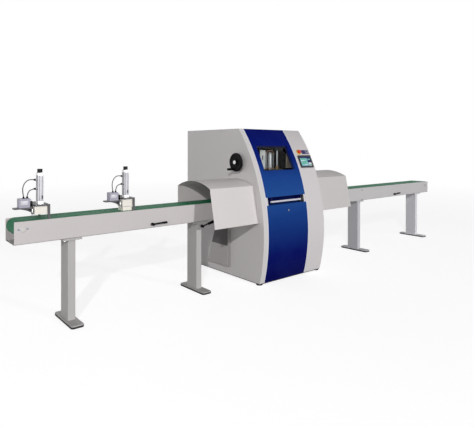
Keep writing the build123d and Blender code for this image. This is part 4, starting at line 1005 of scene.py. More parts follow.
class Shells:
    """Closed shells of one body, collected in one mesh; finishes are given by name."""

    def __init__(self, name, body, *coats):
        self.name, self.body, self.coats = name, body, coats
        self.mesh = bmesh.new()

    def slot(self, coat):
        """Number of a finish in this piece, the first where none is named."""
        return self.coats.index(coat) if coat else 0

    def point(self, at, *spot):
        return self.mesh.verts.new(at @ Vector(spot))

    def face(self, corners, coat=None):
        self.mesh.faces.new(list(dict.fromkeys(corners))).material_index = self.slot(coat)

    def band(self, low, high, coat=None):
        """Faces between two rings; a ring of one point makes a fan."""
        steps = max(len(low), len(high))
        for step in range(steps):
            after = (step + 1) % steps
            self.face([low[step % len(low)], low[after % len(low)],
                       high[after % len(high)], high[step % len(high)]], coat)

    def so_far(self):
        """Tell how much there is already."""
        print(self.name, "so far, faces:", len(self.mesh.faces))

    def done(self, smooth=SMOOTH_UP_TO):
        """Make the object, with smooth shading up to an angle, and let it ride on its body."""
        bmesh.ops.recalc_face_normals(self.mesh, faces=self.mesh.faces)
        mesh = bpy.data.meshes.new(self.name)
        self.mesh.to_mesh(mesh)
        self.mesh.free()
        for coat in self.coats:
            mesh.materials.append(finishes[coat].holder)
        mesh.polygons.foreach_set("use_smooth", [True] * len(mesh.polygons))
        mesh.set_sharp_from_angle(angle=math.radians(smooth))
        piece = bpy.data.objects.new(self.name, mesh)
        scene.collection.objects.link(piece)
        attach(piece, self.body)
        print(self.name, "on", self.body, "faces:", len(mesh.polygons))


print("shells ready")

# %% [markdown]
# ## Round shells
# Screws and fittings are turned on a lathe, and pipes are bent from round bar. A screw modifier or a
# curve could do the same, but a finished mesh needs no settings later. So a profile is turned here ring
# by ring, and a bar is a row of rings along its points.

# %% Round shells
class RoundParts(Shells):
    """Shells that are turned or drawn."""

    def turned(self, profile, at=HERE, coat=None, steps=20):
        """Turn (radius, height) points round the own Z; a profile off the axis closes into a ring."""
        rings = []
        for radius, height in profile:
            turns = around(steps if radius else 1)
            ring = [(radius * math.cos(turn), radius * math.sin(turn), height) for turn in turns]
            rings.append([self.point(at, *spot) for spot in ring])
        for low, high in zip(rings, rings[1:]):
            self.band(low, high, coat)
        if profile[0][0]:
            self.band(rings[-1], rings[0], coat)

    def bar(self, points, radius, coat=None, steps=12):
        """Round bar or pipe through points, with flat ends."""
        points = [Vector(point) for point in points]
        ways = [(b - a).normalized() for a, b in zip(points, points[1:])]
        side, rings = ways[0].orthogonal().normalized(), []
        for index, spot in enumerate(points):
            way = (ways[max(index - 1, 0)] + ways[min(index, len(ways) - 1)]).normalized()
            side = (side - way * side.dot(way)).normalized()
            over = way.cross(side)
            arms = [(side * math.cos(turn) + over * math.sin(turn)) * radius for turn in around(steps)]
            rings.append([self.mesh.verts.new(spot + arm) for arm in arms])
        for low, high in zip(rings, rings[1:]):
            self.band(low, high, coat)
        self.face(rings[0], coat)
        self.face(rings[-1], coat)


print("turned parts and bars ready")

# %% [markdown]
# ## Blocks and sheets
# The other small parts are cut from a block or from sheet. A block gets its edges broken, as a file does
# it. A sheet is filled between its outline and its holes, which a boolean could cut too, but not as
# cleanly.

# %% Blocks and sheets
BROKEN_EDGE = 0.001


class SmallParts(RoundParts):
    """Shells made in all the ways of a workshop."""

    def block(self, low, high, soft=BROKEN_EDGE, coat=None, at=HERE):
        """Block between two corners, with its edges broken."""
        low, high = Vector(low), Vector(high)
        there = set(self.mesh.faces)
        middle = at @ Matrix.Translation((low + high) / 2) @ Matrix.Diagonal((*(high - low), 1))
        made = bmesh.ops.create_cube(self.mesh, size=1.0, matrix=middle)
        rims = list({edge for corner in made["verts"] for edge in corner.link_edges})
        bmesh.ops.bevel(self.mesh, geom=rims, offset=soft, segments=2, profile=0.5, affect="EDGES")
        for side in set(self.mesh.faces) - there:
            side.material_index = self.slot(coat)

    def sheet(self, outline, thick, at=HERE, coat=None, holes=()):
        """Plate of an outline in the own XY plane, with holes, thickened along the own Z."""
        opposite, rims = {}, []
        for loop in (outline, *holes):
            ring = [self.point(at, x, y, 0) for x, y in loop]
            over = [self.point(at, x, y, thick) for x, y in loop]
            rims += [self.mesh.edges.new(pair) for pair in zip(ring, ring[1:] + ring[:1])]
            self.band(ring, over, coat)
            opposite.update(zip(ring, over))
        for made in bmesh.ops.triangle_fill(self.mesh, edges=rims, use_beauty=True)["geom"]:
            if isinstance(made, bmesh.types.BMFace):
                made.material_index = self.slot(coat)
                self.face([opposite[corner] for corner in made.verts], coat)


print("blocks and sheets ready")

# %% [markdown]
# ## Outlines
# Most plates are rectangles with round corners and round holes, so their outlines are worked out and not
# listed. A plate drawn flat is stood upright by a matrix that turns it to one of the machine's four
# sides.

# %% Outlines
OPERATOR_SIDE, REAR_SIDE, WITH_FEED, AGAINST_FEED = (0, -1, 0), (0, 1, 0), (1, 0, 0), (-1, 0, 0)
CORNERS = ((-1, -1), (-1, 1), (1, -1), (1, 1))


def circle(x, y, radius, steps=24):
    """Points of a circle, for a hole or a round outline."""
    return [(x + radius * math.cos(turn), y + radius * math.sin(turn)) for turn in around(steps)]


def rounded(x0, x1, y0, y1, radius, steps=5):
    """Points of a rectangle with round corners."""
    middles = ((x1 - radius, y1 - radius, 0), (x0 + radius, y1 - radius, 90),
               (x0 + radius, y0 + radius, 180), (x1 - radius, y0 + radius, 270))
    points = []
    for x, y, start in middles:
        turns = [math.radians(start + 90 * step / steps) for step in range(steps + 1)]
        points += [(x + radius * math.cos(turn), y + radius * math.sin(turn)) for turn in turns]
    return points


def disc(radius, low, high):
    """Profile of a plain disc, to be turned."""
    return [(0, low), (radius, low), (radius, high), (0, high)]


def level_plate(height):
    """Matrix of a level plate at a height."""
    return Matrix.Translation(UP * height)


def upright_plate(facing, spot):
    """Matrix of an upright plate: own Y up, own Z towards a side of the machine, from a spot."""
    out = Vector(facing)
    return Matrix.Translation(spot) @ Matrix((UP.cross(out), UP, out)).transposed().to_4x4()


print("outlines ready")

# %% [markdown]
# ## Common hardware
# Screws, nuts and air fittings come by the dozen, so each is a function that takes a spot and a size.
# Their shapes are shares of that size, as in a table of standard hardware.

# %% Common hardware
SCREW_SHAPE = ((0, 0.35), (0.45, 0.35), (0.45, 0.97), (0.62, 0.92), (0.88, 0.62), (1, 0.12))
SCREW_TALL, SCREW_SUNK, USUAL_SCREW = 0.62, 0.0004, 0.005
WASHER_WIDE, WASHER_TALL, WASHER_SUNK = 1.35, 0.14, 0.0002
NUT_SHAPE = ((0, 0.14), (0.97, 0.14), (1, 0.22), (1, 0.88), (0.9, 1), (0, 1))
FITTING_FOOT = ((0, 0), (1, 0), (1, 0.7), (0.82, 0.8))
FITTING_COLLAR = ((0.82, 1.5), (0.62, 1.65), (0.62, 1.95), (0, 1.95))
FITTING_HEX_WIDE, FITTING_HEX_TALL = 1.16, 0.55


def screw(parts, at, radius=USUAL_SCREW, coat=None):
    """Button-head screw with a round socket."""
    tall = SCREW_TALL * radius
    head = [(wide * radius, high * tall) for wide, high in SCREW_SHAPE]
    parts.turned([*head, (radius, -SCREW_SUNK), (0, -SCREW_SUNK)], at, coat, 14)


def hexagon(parts, at, radius, tall, coat=None):
    """Hexagon head or nut with broken corners, on a washer."""
    parts.turned(disc(WASHER_WIDE * radius, -WASHER_SUNK, WASHER_TALL * tall), at, coat, 24)
    parts.turned([(wide * radius, high * tall) for wide, high in NUT_SHAPE], at, coat, 6)


def air_fitting(parts, at, size, coat=None, long=1.0):
    """Push-in fitting: hexagon, collar and release ring along the own Z; the collar can be longer."""
    shape = [*FITTING_FOOT, *((wide, high * long) for wide, high in FITTING_COLLAR)]
    parts.turned([(wide * size, high * size) for wide, high in shape], at, coat, 18)
    parts.turned(disc(FITTING_HEX_WIDE * size, 0, FITTING_HEX_TALL * size), at, coat, 6)


print("hardware ready")

# %% [markdown]
# ## Places on the curved front
# The front is part of a cylinder, so a piece that lies on it needs the slope at its height. The slope
# could be read off a face of the mesh, which is only near the truth. The circle's own radius and middle
# give it exactly.

# %% Places on the curved front
SKIN_RADIUS, SKIN_MIDDLE = 1.9, Vector((0, 1.157864, 0.51))


def on_skin(x, z, out=0.0):
    """Matrix of a spot on the curved front: own X along the feed, own Y up the skin, own Z outwards."""
    lean = math.asin((z - SKIN_MIDDLE.z) / SKIN_RADIUS)
    outward = Vector((0, -math.cos(lean), math.sin(lean)))
    upward = Vector((0, math.sin(lean), math.cos(lean)))
    spot = Vector((x, SKIN_MIDDLE.y, SKIN_MIDDLE.z)) + outward * (SKIN_RADIUS + out)
    return Matrix.Translation(spot) @ Matrix((Vector(WITH_FEED), upward, outward)).transposed().to_4x4()


print("front reaches y =", round(SKIN_MIDDLE.y - SKIN_RADIUS, 4), "at", SKIN_MIDDLE.z, "m up")

# %% [markdown]
# ## Touch screen
# The screen shows a plain machine page: a header, a cutting plan of coloured bars and a block of keys. A
# picture would do from afar. The fields here are thin tiles in the recess of the screen, so they stay
# sharp at any size, and the page has no writing.

# %% Touch screen
SCREEN_X, SCREEN_Z, SCREEN_FLOOR = middle_of("touch_screen").x, 1.307, 0.0091
TILE_THICK, TILE_CORNER = 0.0003, 0.0015
UNDER, FLAT, ON_TOP = 0.5, 1, 2
PAGE = (
    (-94, 94, -62, 62, "navy", UNDER), (-92, 92, 46, 60, "header", FLAT), (-90, 30, -56, 42, "cyan", FLAT),
    (36, 90, -12, 42, "header", FLAT), (36, 90, -56, -16, "white", FLAT),
)
PLAN = ((-82, 8, "green"), (-82, -20, "white"), (-60, 22, "green"), (-82, -8, "green"), (-40, 20, "white"))
PLAN_LOW, PLAN_TALL, PLAN_STEP = 26, 10, 18
KEY_ROWS = ((18, 34, "cyan"), (-50, -38, "green"))
KEY_LEFT, KEY_WIDE, KEY_STEP, KEY_COLUMNS = 40, 13, 17, 3
picture = SmallParts("screen_picture", "machine", *SCREEN_FIELDS)
page = on_skin(SCREEN_X, SCREEN_Z, SCREEN_FLOOR)


def tile(x0, x1, y0, y1, field, layer):
    """One field of the page, in millimetres from the middle of the screen."""
    outline = rounded(x0 / 1000, x1 / 1000, y0 / 1000, y1 / 1000, TILE_CORNER, 3)
    picture.sheet(outline, TILE_THICK * (1 + layer), page, "screen_" + field)


for place in PAGE:
    tile(*place)
for row, (start, stop, field) in enumerate(PLAN):
    low = PLAN_LOW - PLAN_STEP * row
    tile(start, stop, low, low + PLAN_TALL, field, ON_TOP)
for column in range(KEY_COLUMNS):
    left = KEY_LEFT + KEY_STEP * column
    for low, high, field in KEY_ROWS:
        tile(left, left + KEY_WIDE, low, high, field, ON_TOP)
picture.done()

# %% [markdown]
# ## Key plate
# Beside the stop button lies a dark plate with the start button in a hole and six small keys. It is a cut
# sheet, a little sunk so that no gap shows, and the keys are turned buttons.

# %% Key plate
START_X, PLATE_Z, PLATE_SUNK, PLATE_THICK = -0.040, 1.4215, 0.0003, 0.0022
PLATE_X, PLATE_HALF_Y, PLATE_CORNER = (-0.046, 0.082), 0.027, 0.006
HOLE_RADIUS, HOLE_DROP = 0.0176, 0.0015
KEY_PROFILE = [(0, -0.001), (0.0062, -0.001), (0.0062, 0.0016), (0.0052, 0.0030), (0, 0.0034)]
KEY_X, KEY_LOW, KEY_HIGH, KEY_SEAT = (0.032, 0.050, 0.068), -0.011, 0.012, 0.002
UPPER_KEYS = ("key_white", "key_green", "key_white")
key_plate = SmallParts("key_plate", "machine", "plate_violet", "key_white", "key_green")
plate = on_skin(START_X, PLATE_Z, -PLATE_SUNK)
key_plate.sheet(rounded(*PLATE_X, -PLATE_HALF_Y, PLATE_HALF_Y, PLATE_CORNER), PLATE_THICK, plate,
                holes=[circle(0, -HOLE_DROP, HOLE_RADIUS, 28)])
for along, upper in zip(KEY_X, UPPER_KEYS):
    for up, coat in ((KEY_LOW, "key_white"), (KEY_HIGH, upper)):
        key_plate.turned(KEY_PROFILE, plate @ Matrix.Translation((along, up, KEY_SEAT)), coat, 18)
key_plate.done()

# %% [markdown]
# ## Edge trims
# A pale trim closes the folded edge of the grey panels on both sides of the blue covers, and its pale colour
# also paints the highlight along that fold. It follows the curve of the front. A bent curve object would do,
# but a bar of short straight steps on the skin's own circle lies exactly on it.

# %% Edge trims
TRIM_LOW, TRIM_HIGH, TRIM_GAP, TRIM_WIDE = 0.024, 1.684, 0.0038, 0.0092
TRIM_IN, TRIM_OUT, TRIM_STEPS, TRIM_SMOOTH = -0.0006, 0.0003, 64, 20


def skin_strip(parts, x0, x1):
    """Bar that follows the front from the lowest to the highest point of the trims."""
    section, rings = ((x0, TRIM_IN), (x1, TRIM_IN), (x1, TRIM_OUT), (x0, TRIM_OUT)), []
    for step in range(TRIM_STEPS + 1):
        at = on_skin(0, TRIM_LOW + (TRIM_HIGH - TRIM_LOW) * step / TRIM_STEPS)
        rings.append([parts.point(at, x, 0, out) for x, out in section])
    for low, high in zip(rings, rings[1:]):
        parts.band(low, high)
    parts.face(rings[0])
    parts.face(rings[-1])


cover_low, cover_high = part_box("lower_front_panel")
trims = SmallParts("edge_trims", "machine", "trim_white_painted_highlight")
skin_strip(trims, cover_low.x - TRIM_GAP - TRIM_WIDE, cover_low.x - TRIM_GAP)
skin_strip(trims, cover_high.x + TRIM_GAP, cover_high.x + TRIM_GAP + TRIM_WIDE)
trims.done(TRIM_SMOOTH)

# %% [markdown]
# ## Window seal
# The pane sits deep in the hood and is held by a rubber frame. It could be swept round the opening as a
# curve, but a flat frame is simply a sheet with a hole. It is a little smaller than the opening and rides
# on the hood, so that it swings up with it.

# %% Window seal
WINDOW_X, WINDOW_Z, WINDOW_WIDE, WINDOW_TALL = middle_of("window_pane").x, 1.3625, 0.500, 0.3077
PANE_FRONT, SEAL_THICK, SEAL_WIDE, SEAL_PLAY = -0.035, 0.006, 0.009, 0.0004
SEAL_CORNER, OPENING_CORNER = 0.002, 0.008
half_x, half_y = WINDOW_WIDE / 2 - SEAL_PLAY, WINDOW_TALL / 2 - SEAL_PLAY
open_x, open_y = half_x - SEAL_WIDE, half_y - SEAL_WIDE
seal = SmallParts("window_seal", "hood", "drive_rubber")
seal.sheet(rounded(-half_x, half_x, -half_y, half_y, SEAL_CORNER), SEAL_THICK,
           on_skin(WINDOW_X, WINDOW_Z, PANE_FRONT),
           holes=[rounded(-open_x, open_x, -open_y, open_y, OPENING_CORNER)])
seal.done()

# %% [markdown]
# ## Handwheel cap
# The black handwheel has a pale cap on its hub, the one bright spot of the wheel. It is turned, with a
# small boss in its middle, and turns with the wheel.

# %% Handwheel cap
HUB_FACE = -1.019
CAP_PROFILE = [
    (0, -0.002), (0.0215, -0.002), (0.0215, 0.0018), (0.0195, 0.0036), (0.012, 0.0042),
    (0.0105, 0.003), (0.0055, 0.003), (0.004, 0.0046), (0, 0.005),
]
wheel = middle_of("angle_gearbox")
cap = SmallParts("handwheel_cap", "handwheel", "pale_alloy")
cap.turned(CAP_PROFILE, aim((HUB_FACE, wheel.y, wheel.z), AGAINST_FEED), steps=36)
cap.done()

# %% [markdown]
# ## Guard vent
# The upper half of the slanted cover on the infeed side is a dark slatted vent; its dark paint is painted
# shade, the shade inside the vent's openings. Its rows could be drawn with a striped finish, but slats catch
# the light from the side. So each row is a thin raised sheet that ends along the slant.

# %% Guard vent
VENT_LOW, VENT_HIGH, VENT_THICK, VENT_SUNK = 0.352, 0.642, 0.0015, 0.0003
VENT_FRONT, VENT_BACK, GUARD_TOP_DEEP = 0.0015, 0.008, 0.195
SLAT_ROWS, SLAT_FIRST, SLAT_STEP, SLAT_TALL = 11, 0.014, 0.0245, 0.006
SLAT_FRONT, SLAT_BACK, SLAT_THICK = 0.0095, 0.018, 0.0048
guard_low, guard_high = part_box("drive_guard")
vent = SmallParts("guard_vent", "machine", "vent_painted_shade")


def guard_back(z):
    """How far back the slanted cover reaches at a height."""
    share = (z - guard_low.z) / (guard_high.z - guard_low.z)
    return guard_high.y + (guard_low.y + GUARD_TOP_DEEP - guard_high.y) * share


def vent_sheet(low, high, front, back, thick):
    """Sheet on the cover's face between two heights, with margins from its front and its slanted back."""
    outline = [(guard_low.y + front, low), (guard_back(low) - back, low),
               (guard_back(high) - back, high), (guard_low.y + front, high)]
    vent.sheet(outline, thick, upright_plate(WITH_FEED, (guard_low.x + VENT_SUNK - thick, 0, 0)))


vent_sheet(VENT_LOW, VENT_HIGH, VENT_FRONT, VENT_BACK, VENT_THICK)
for row in range(SLAT_ROWS):
    slat_low = VENT_LOW + SLAT_FIRST + SLAT_STEP * row
    vent_sheet(slat_low, slat_low + SLAT_TALL, SLAT_FRONT, SLAT_BACK, SLAT_THICK)
vent.done()

# %% [markdown]
# ## Clamp cylinders
# Through the pane one sees the clamp: two air cylinders with square end plates, held by four tie rods
# each, and a brass fitting in every plate. The CAD has plain cylinders, so the plates and rods are added
# here. They rise with the clamp beam and ride on it.

# %% Clamp cylinders
CLAMP_RADIUS, END_HALF, END_SOFT = 0.036, 0.041, 0.003
END_LEVELS = ((0.0002, 0.018), (0.182, 0.206))
TIE_AT, TIE_LOW, TIE_HIGH, TIE_RADIUS = 0.0335, 0.017, 0.183, 0.0038
TIE_NUT_UP, TIE_NUT, TIE_NUT_TALL = 0.2059, 0.0068, 0.007
CLAMP_FITTING, FITTING_SUNK = 0.0085, 0.001
clamp_low, clamp_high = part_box("clamp_cylinders")
beam_top, clamp_x = clamp_low.z, (clamp_low.x + CLAMP_RADIUS, clamp_high.x - CLAMP_RADIUS)
clamp = SmallParts("clamp_fittings", "clamp_beam", "pale_alloy", "zinc_screw", "brass", "copper", "bronze")
for x in clamp_x:
    for low, high in END_LEVELS:
        clamp.block((x - END_HALF, CLAMP_Y - END_HALF, beam_top + low),
                    (x + END_HALF, CLAMP_Y + END_HALF, beam_top + high), END_SOFT)
        spot = (x, CLAMP_Y - END_HALF + FITTING_SUNK, beam_top + (low + high) / 2)
        air_fitting(clamp, aim(spot, OPERATOR_SIDE), CLAMP_FITTING, "brass")
    for across, deep in CORNERS:
        foot = Vector((x + across * TIE_AT, CLAMP_Y + deep * TIE_AT, beam_top))
        clamp.bar([foot + UP * TIE_LOW, foot + UP * TIE_HIGH], TIE_RADIUS, "zinc_screw")
        hexagon(clamp, aim(foot + UP * TIE_NUT_UP), TIE_NUT, TIE_NUT_TALL, "zinc_screw")
clamp.so_far()

# %% [markdown]
# ## Copper pipes and bushes
# The two cylinders share their air through copper pipes, which bow up a little between the fittings. Each
# half of a pipe is a mirror of the other, so one list of points does for both. The clamp beam slides on
# its guide rods in bronze bushes with a screwed flange.

# %% Copper pipes and bushes
PIPE_RADIUS, PIPE_AHEAD = 0.0045, 0.017
PIPE_HALF = ((0, 0.006, 0), (0, -0.006, 0), (0.004, -0.013, 0.4), (0.018, -0.016, 1))
PIPE_LEVELS, PIPE_BOWS = (0.194, 0.009), (0.034, 0.012)
BUSH_PROFILE = [
    (0.0155, 0), (0.0285, 0), (0.0285, 0.007), (0.0215, 0.009),
    (0.0215, 0.034), (0.020, 0.037), (0.0155, 0.037),
]
BUSH_SUNK, FLANGE_TOP, FLANGE_SCREW = 0.0002, 0.0066, 0.0027
FLANGE_SCREW_AT = 0.025 * math.sqrt(0.5)
pipe_y = CLAMP_Y - END_HALF - PIPE_AHEAD


def half_pipe(x, inwards, level, bow):
    """Points of half a pipe, from its fitting to its middle."""
    return [(x + inwards * along, pipe_y + deep, level + share * bow) for along, deep, share in PIPE_HALF]


left, right = clamp_x
for level, bow in zip(PIPE_LEVELS, PIPE_BOWS):
    back_again = half_pipe(right, -1, beam_top + level, bow)[::-1]
    clamp.bar(half_pipe(left, 1, beam_top + level, bow) + back_again, PIPE_RADIUS, "copper")
for x in ROD_X:
    clamp.turned(BUSH_PROFILE, aim((x, CLAMP_Y, beam_top - BUSH_SUNK)), "bronze", 32)
    for across, deep in CORNERS:
        spot = (x + across * FLANGE_SCREW_AT, CLAMP_Y + deep * FLANGE_SCREW_AT, beam_top + FLANGE_TOP)
        screw(clamp, aim(spot), FLANGE_SCREW, "zinc_screw")
clamp.done()

# %% [markdown]
# ## Bridge plates
# Left of the cylinders the window shows a pale plate with a dark slot, and right of them a beige strip.
# On the real saw these may be a cover and a guide. Here they are cut sheets on the fixed bridge, the slot is
# a hole with a black sheet behind it that paints the shade in the slot, and two pins carry the strip from the
# outfeed side.

# %% Bridge plates
COVER_X, COVER_Z, COVER_CORNER, COVER_THICK = (-0.6715, -0.5885), (1.236, 1.446), 0.005, 0.004
SLOT_X, SLOT_Z, SLOT_CORNER = (-0.640, -0.622), (1.330, 1.388), 0.008
SLOT_SHADE_X, SLOT_SHADE_Z, SLOT_SHADE_CORNER = (-0.6395, -0.616), (1.322, 1.396), 0.003
SLOT_SHADE_THICK, SLOT_SHADE_BEHIND = 0.0016, 0.0020
COVER_SUNK, COVER_SCREW_X, COVER_SCREW_Z, COVER_SCREW = 0.0003, -0.6460, (1.285, 1.425), 0.006
STRIP_X, STRIP_Z, STRIP_CORNER, STRIP_Y = (-0.168, -0.072), (1.222, 1.402), 0.006, -0.331
PIN_Z, PIN_FROM, PIN_TO, PIN_Y, PIN_RADIUS = (1.250, 1.374), -0.118, 0.048, -0.325, 0.008
BOSS_FRONT, BOSS_BACK, BOSS_RADIUS = -0.3335, -0.318, 0.010
bridge_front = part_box("upper_bridge")[0].y
bridge = SmallParts("bridge_fittings", "machine",
                    "light_plate", "beige_plate", "brass", "black_plastic", "zinc_screw", "copper")
bridge.sheet(rounded(*COVER_X, *COVER_Z, COVER_CORNER), COVER_THICK,
             upright_plate(OPERATOR_SIDE, (0, bridge_front - COVER_SUNK, 0)),
             holes=[rounded(*SLOT_X, *SLOT_Z, SLOT_CORNER)])
# Painted shade: a black sheet behind the slot.
bridge.sheet(rounded(*SLOT_SHADE_X, *SLOT_SHADE_Z, SLOT_SHADE_CORNER), SLOT_SHADE_THICK,
             upright_plate(OPERATOR_SIDE, (0, bridge_front + SLOT_SHADE_BEHIND, 0)), "black_plastic")
for z in COVER_SCREW_Z:
    spot = (COVER_SCREW_X, bridge_front - COVER_SUNK - COVER_THICK, z)
    screw(bridge, aim(spot, OPERATOR_SIDE), COVER_SCREW, "zinc_screw")
bridge.sheet(rounded(*STRIP_X, *STRIP_Z, STRIP_CORNER), COVER_THICK,
             upright_plate(OPERATOR_SIDE, (0, STRIP_Y, 0)), "beige_plate")
for z in PIN_Z:
    bridge.bar([(PIN_FROM, PIN_Y, z), (PIN_TO, PIN_Y, z)], PIN_RADIUS, "zinc_screw")
    bridge.bar([(PIN_FROM, BOSS_FRONT, z), (PIN_FROM, BOSS_BACK, z)], BOSS_RADIUS, "zinc_screw")
bridge.so_far()

# %% [markdown]
# ## Row of air fittings
# Air comes to the clamp through a row of fittings on a black block beside the bridge, and each has a
# short copper pipe that bends up. One fitting and one pipe in a loop make the row.

# %% Row of air fittings
BLOCK_LOW, BLOCK_HIGH, BLOCK_SOFT = (-0.3315, -0.232, 1.446), (-0.2998, -0.052, 1.494), 0.003
ROW_X, ROW_FIRST_Y, ROW_STEP, ROW_Z, ROW_COUNT, ROW_FITTING = -0.3312, -0.212, 0.035, 1.470, 5, 0.010
ROW_PIPE, ROW_PIPE_RADIUS = ((0.012, 0), (0.030, 0), (0.040, 0.010), (0.042, 0.060)), 0.004
bridge.block(BLOCK_LOW, BLOCK_HIGH, BLOCK_SOFT, "black_plastic")
for number in range(ROW_COUNT):
    y = ROW_FIRST_Y + ROW_STEP * number
    air_fitting(bridge, aim((ROW_X, y, ROW_Z), AGAINST_FEED), ROW_FITTING, "brass")
    bridge.bar([(ROW_X - out, y, ROW_Z + up) for out, up in ROW_PIPE], ROW_PIPE_RADIUS, "copper")
bridge.done()

# %% [markdown]
# ## Sound lining
# Such a housing is lined with black foam that deadens the noise of the cut, and its black also paints the
# shade inside the housing, which makes the window dark.
# The slabs lie on the inside of both side panels, the back and the top cover. The side slabs are cut
# sheets that keep clear of the curved front.

# %% Sound lining
LINING_THICK, LINING_SOFT, AXLE_HOLE = 0.011, 0.003, 0.032
LINING_LEFT, LINING_RIGHT = -0.9368, 0.0568
LINING_BACK, LINING_LOW, LINING_TOP = 0.655, 1.10, 1.655
FRONT_EDGE = (
    (-0.60, LINING_LOW), (-0.575, 1.20), (-0.53, 1.30), (-0.48, 1.40), (-0.42, 1.50), (-0.35, 1.60),
    (-0.31, LINING_TOP),
)
REAR_SLAB = (-0.915, 0.667, 0.99), (0.040, 0.6785, LINING_TOP)
TOP_SLAB = (-0.915, -0.20, 1.672), (0.040, LINING_BACK, 1.6866)
wall = [*FRONT_EDGE, (LINING_BACK, LINING_TOP), (LINING_BACK, LINING_LOW)]
# Black foam slabs, which also paint the shade inside the housing.
lining = SmallParts("sound_lining", "machine", "foam_black")
lining.sheet(wall, LINING_THICK, upright_plate(WITH_FEED, (LINING_RIGHT - LINING_THICK, 0, 0)))
lining.sheet(wall, LINING_THICK, upright_plate(WITH_FEED, (LINING_LEFT, 0, 0)),
             holes=[circle(wheel.y, wheel.z, AXLE_HOLE)])
lining.block(*REAR_SLAB, LINING_SOFT)
lining.block(*TOP_SLAB, LINING_SOFT)
lining.done()

# %% [markdown]
# ## Presser cylinders
# Each presser cylinder is a drawn profile with end caps and narrow slots along it, and a small reed switch
# sits in one of the slots. Slots could be cut, but they are so narrow that darker strips, a third of a
# millimetre proud, look the same: their colour is painted shade of the slots.

# %% Presser cylinders
PROFILE_X, PROFILE_Y, CAP_PROUD, CAP_INSIDE = 0.023, 0.025, 0.0011, 0.001
CAP_LEVELS, CAP_CORNER, CAP_HOLE_CORNER = ((1.0182, 1.040), (1.250, 1.2698)), 0.004, 0.002
SLOT_HEIGHTS, SLOT_HALF, SLOT_PROUD, SLOT_SOFT = (1.042, 1.248), 0.0024, 0.0003, 0.0002
SLOT_ACROSS, SLOT_DEEP = (-0.011, 0.011), (-0.0155, 0.0155)
REED_X, REED_PROUD, REED_HEIGHTS, REED_SOFT = (0.0075, 0.0145), 0.0052, (1.058, 1.088), 0.0012
presser = SmallParts("presser_fittings", "machine",
                     "black_plastic", "zinc_screw", "key_white", "pale_alloy", "slot_painted_shade")


def about(middle, half):
    """A span round a middle."""
    return middle - half, middle + half


def at_presser(x, across, deep, heights, soft, coat):
    """Block at a presser, its spans measured from the cylinder's axis and from the floor."""
    low, high = zip(across, deep, heights)
    axis = Vector((x, PRESSER_Y, 0))
    presser.block(axis + Vector(low), axis + Vector(high), soft, coat)


def around_axis(x, grow, corner):
    """Outline of the cylinder's profile, grown by a margin."""
    return rounded(*about(x, PROFILE_X + grow), *about(PRESSER_Y, PROFILE_Y + grow), corner)


for x in PRESSER_X.values():
    for low, high in CAP_LEVELS:
        presser.sheet(around_axis(x, CAP_PROUD, CAP_CORNER), high - low, level_plate(low), "pale_alloy",
                      [around_axis(x, -CAP_INSIDE, CAP_HOLE_CORNER)])
    for side in (-1, 1):
        face_x, face_y = about(side * PROFILE_X, SLOT_PROUD), about(side * PROFILE_Y, SLOT_PROUD)
        for across in SLOT_ACROSS:
            at_presser(x, about(across, SLOT_HALF), face_y, SLOT_HEIGHTS, SLOT_SOFT, "slot_painted_shade")
        for deep in SLOT_DEEP:
            at_presser(x, face_x, about(deep, SLOT_HALF), SLOT_HEIGHTS, SLOT_SOFT, "slot_painted_shade")
    at_presser(x, REED_X, (-PROFILE_Y - REED_PROUD, -PROFILE_Y), REED_HEIGHTS, REED_SOFT, "black_plastic")
presser.so_far()

# %% [markdown]
# ## Hose fittings and valves
# A hose is pushed into a fitting at the cylinder and into another on the valve. The valve has a black
# coil with a pale plug at its side, and a pale cover on its front. The fittings are set where the hose
# routes start and end.

# %% Hose fittings and valves
HOSE_FITTING, HOSE_FITTING_LONG, FITTING_OUT, VALVE_TOP = 0.0088, 0.9, 0.0335, 1.0695
VALVE_PARTS = (
    ((-0.0802, -0.0600), (-0.016, 0.016), (1.004, 1.046), 0.002, "black_plastic"),
    ((-0.0770, -0.0640), (-0.011, 0.011), (1.045, 1.060), 0.002, "key_white"),
    ((-0.150, -0.095), (-0.0215, -0.0195), (1.020, 1.052), 0.0006, "key_white"),
)
for x in PRESSER_X.values():
    for height, runs in HOSE_RUNS.values():
        end = hose_route(x, height, runs)[-1]
        at_port = aim((x - FITTING_OUT, PRESSER_Y, height), AGAINST_FEED)
        on_valve = aim((end.x, PRESSER_Y, VALVE_TOP))
        air_fitting(presser, at_port, HOSE_FITTING, "black_plastic", HOSE_FITTING_LONG)
        air_fitting(presser, on_valve, HOSE_FITTING, "black_plastic", HOSE_FITTING_LONG)
    for across, deep, heights, soft, coat in VALVE_PARTS:
        at_presser(x, across, deep, heights, soft, coat)
presser.so_far()

# %% [markdown]
# ## Position switches
# A round switch beside the guide box tells where the presser's shoe is. It is a threaded barrel between
# two nuts on a small holder. Four screws hold the portal plate under each cylinder.

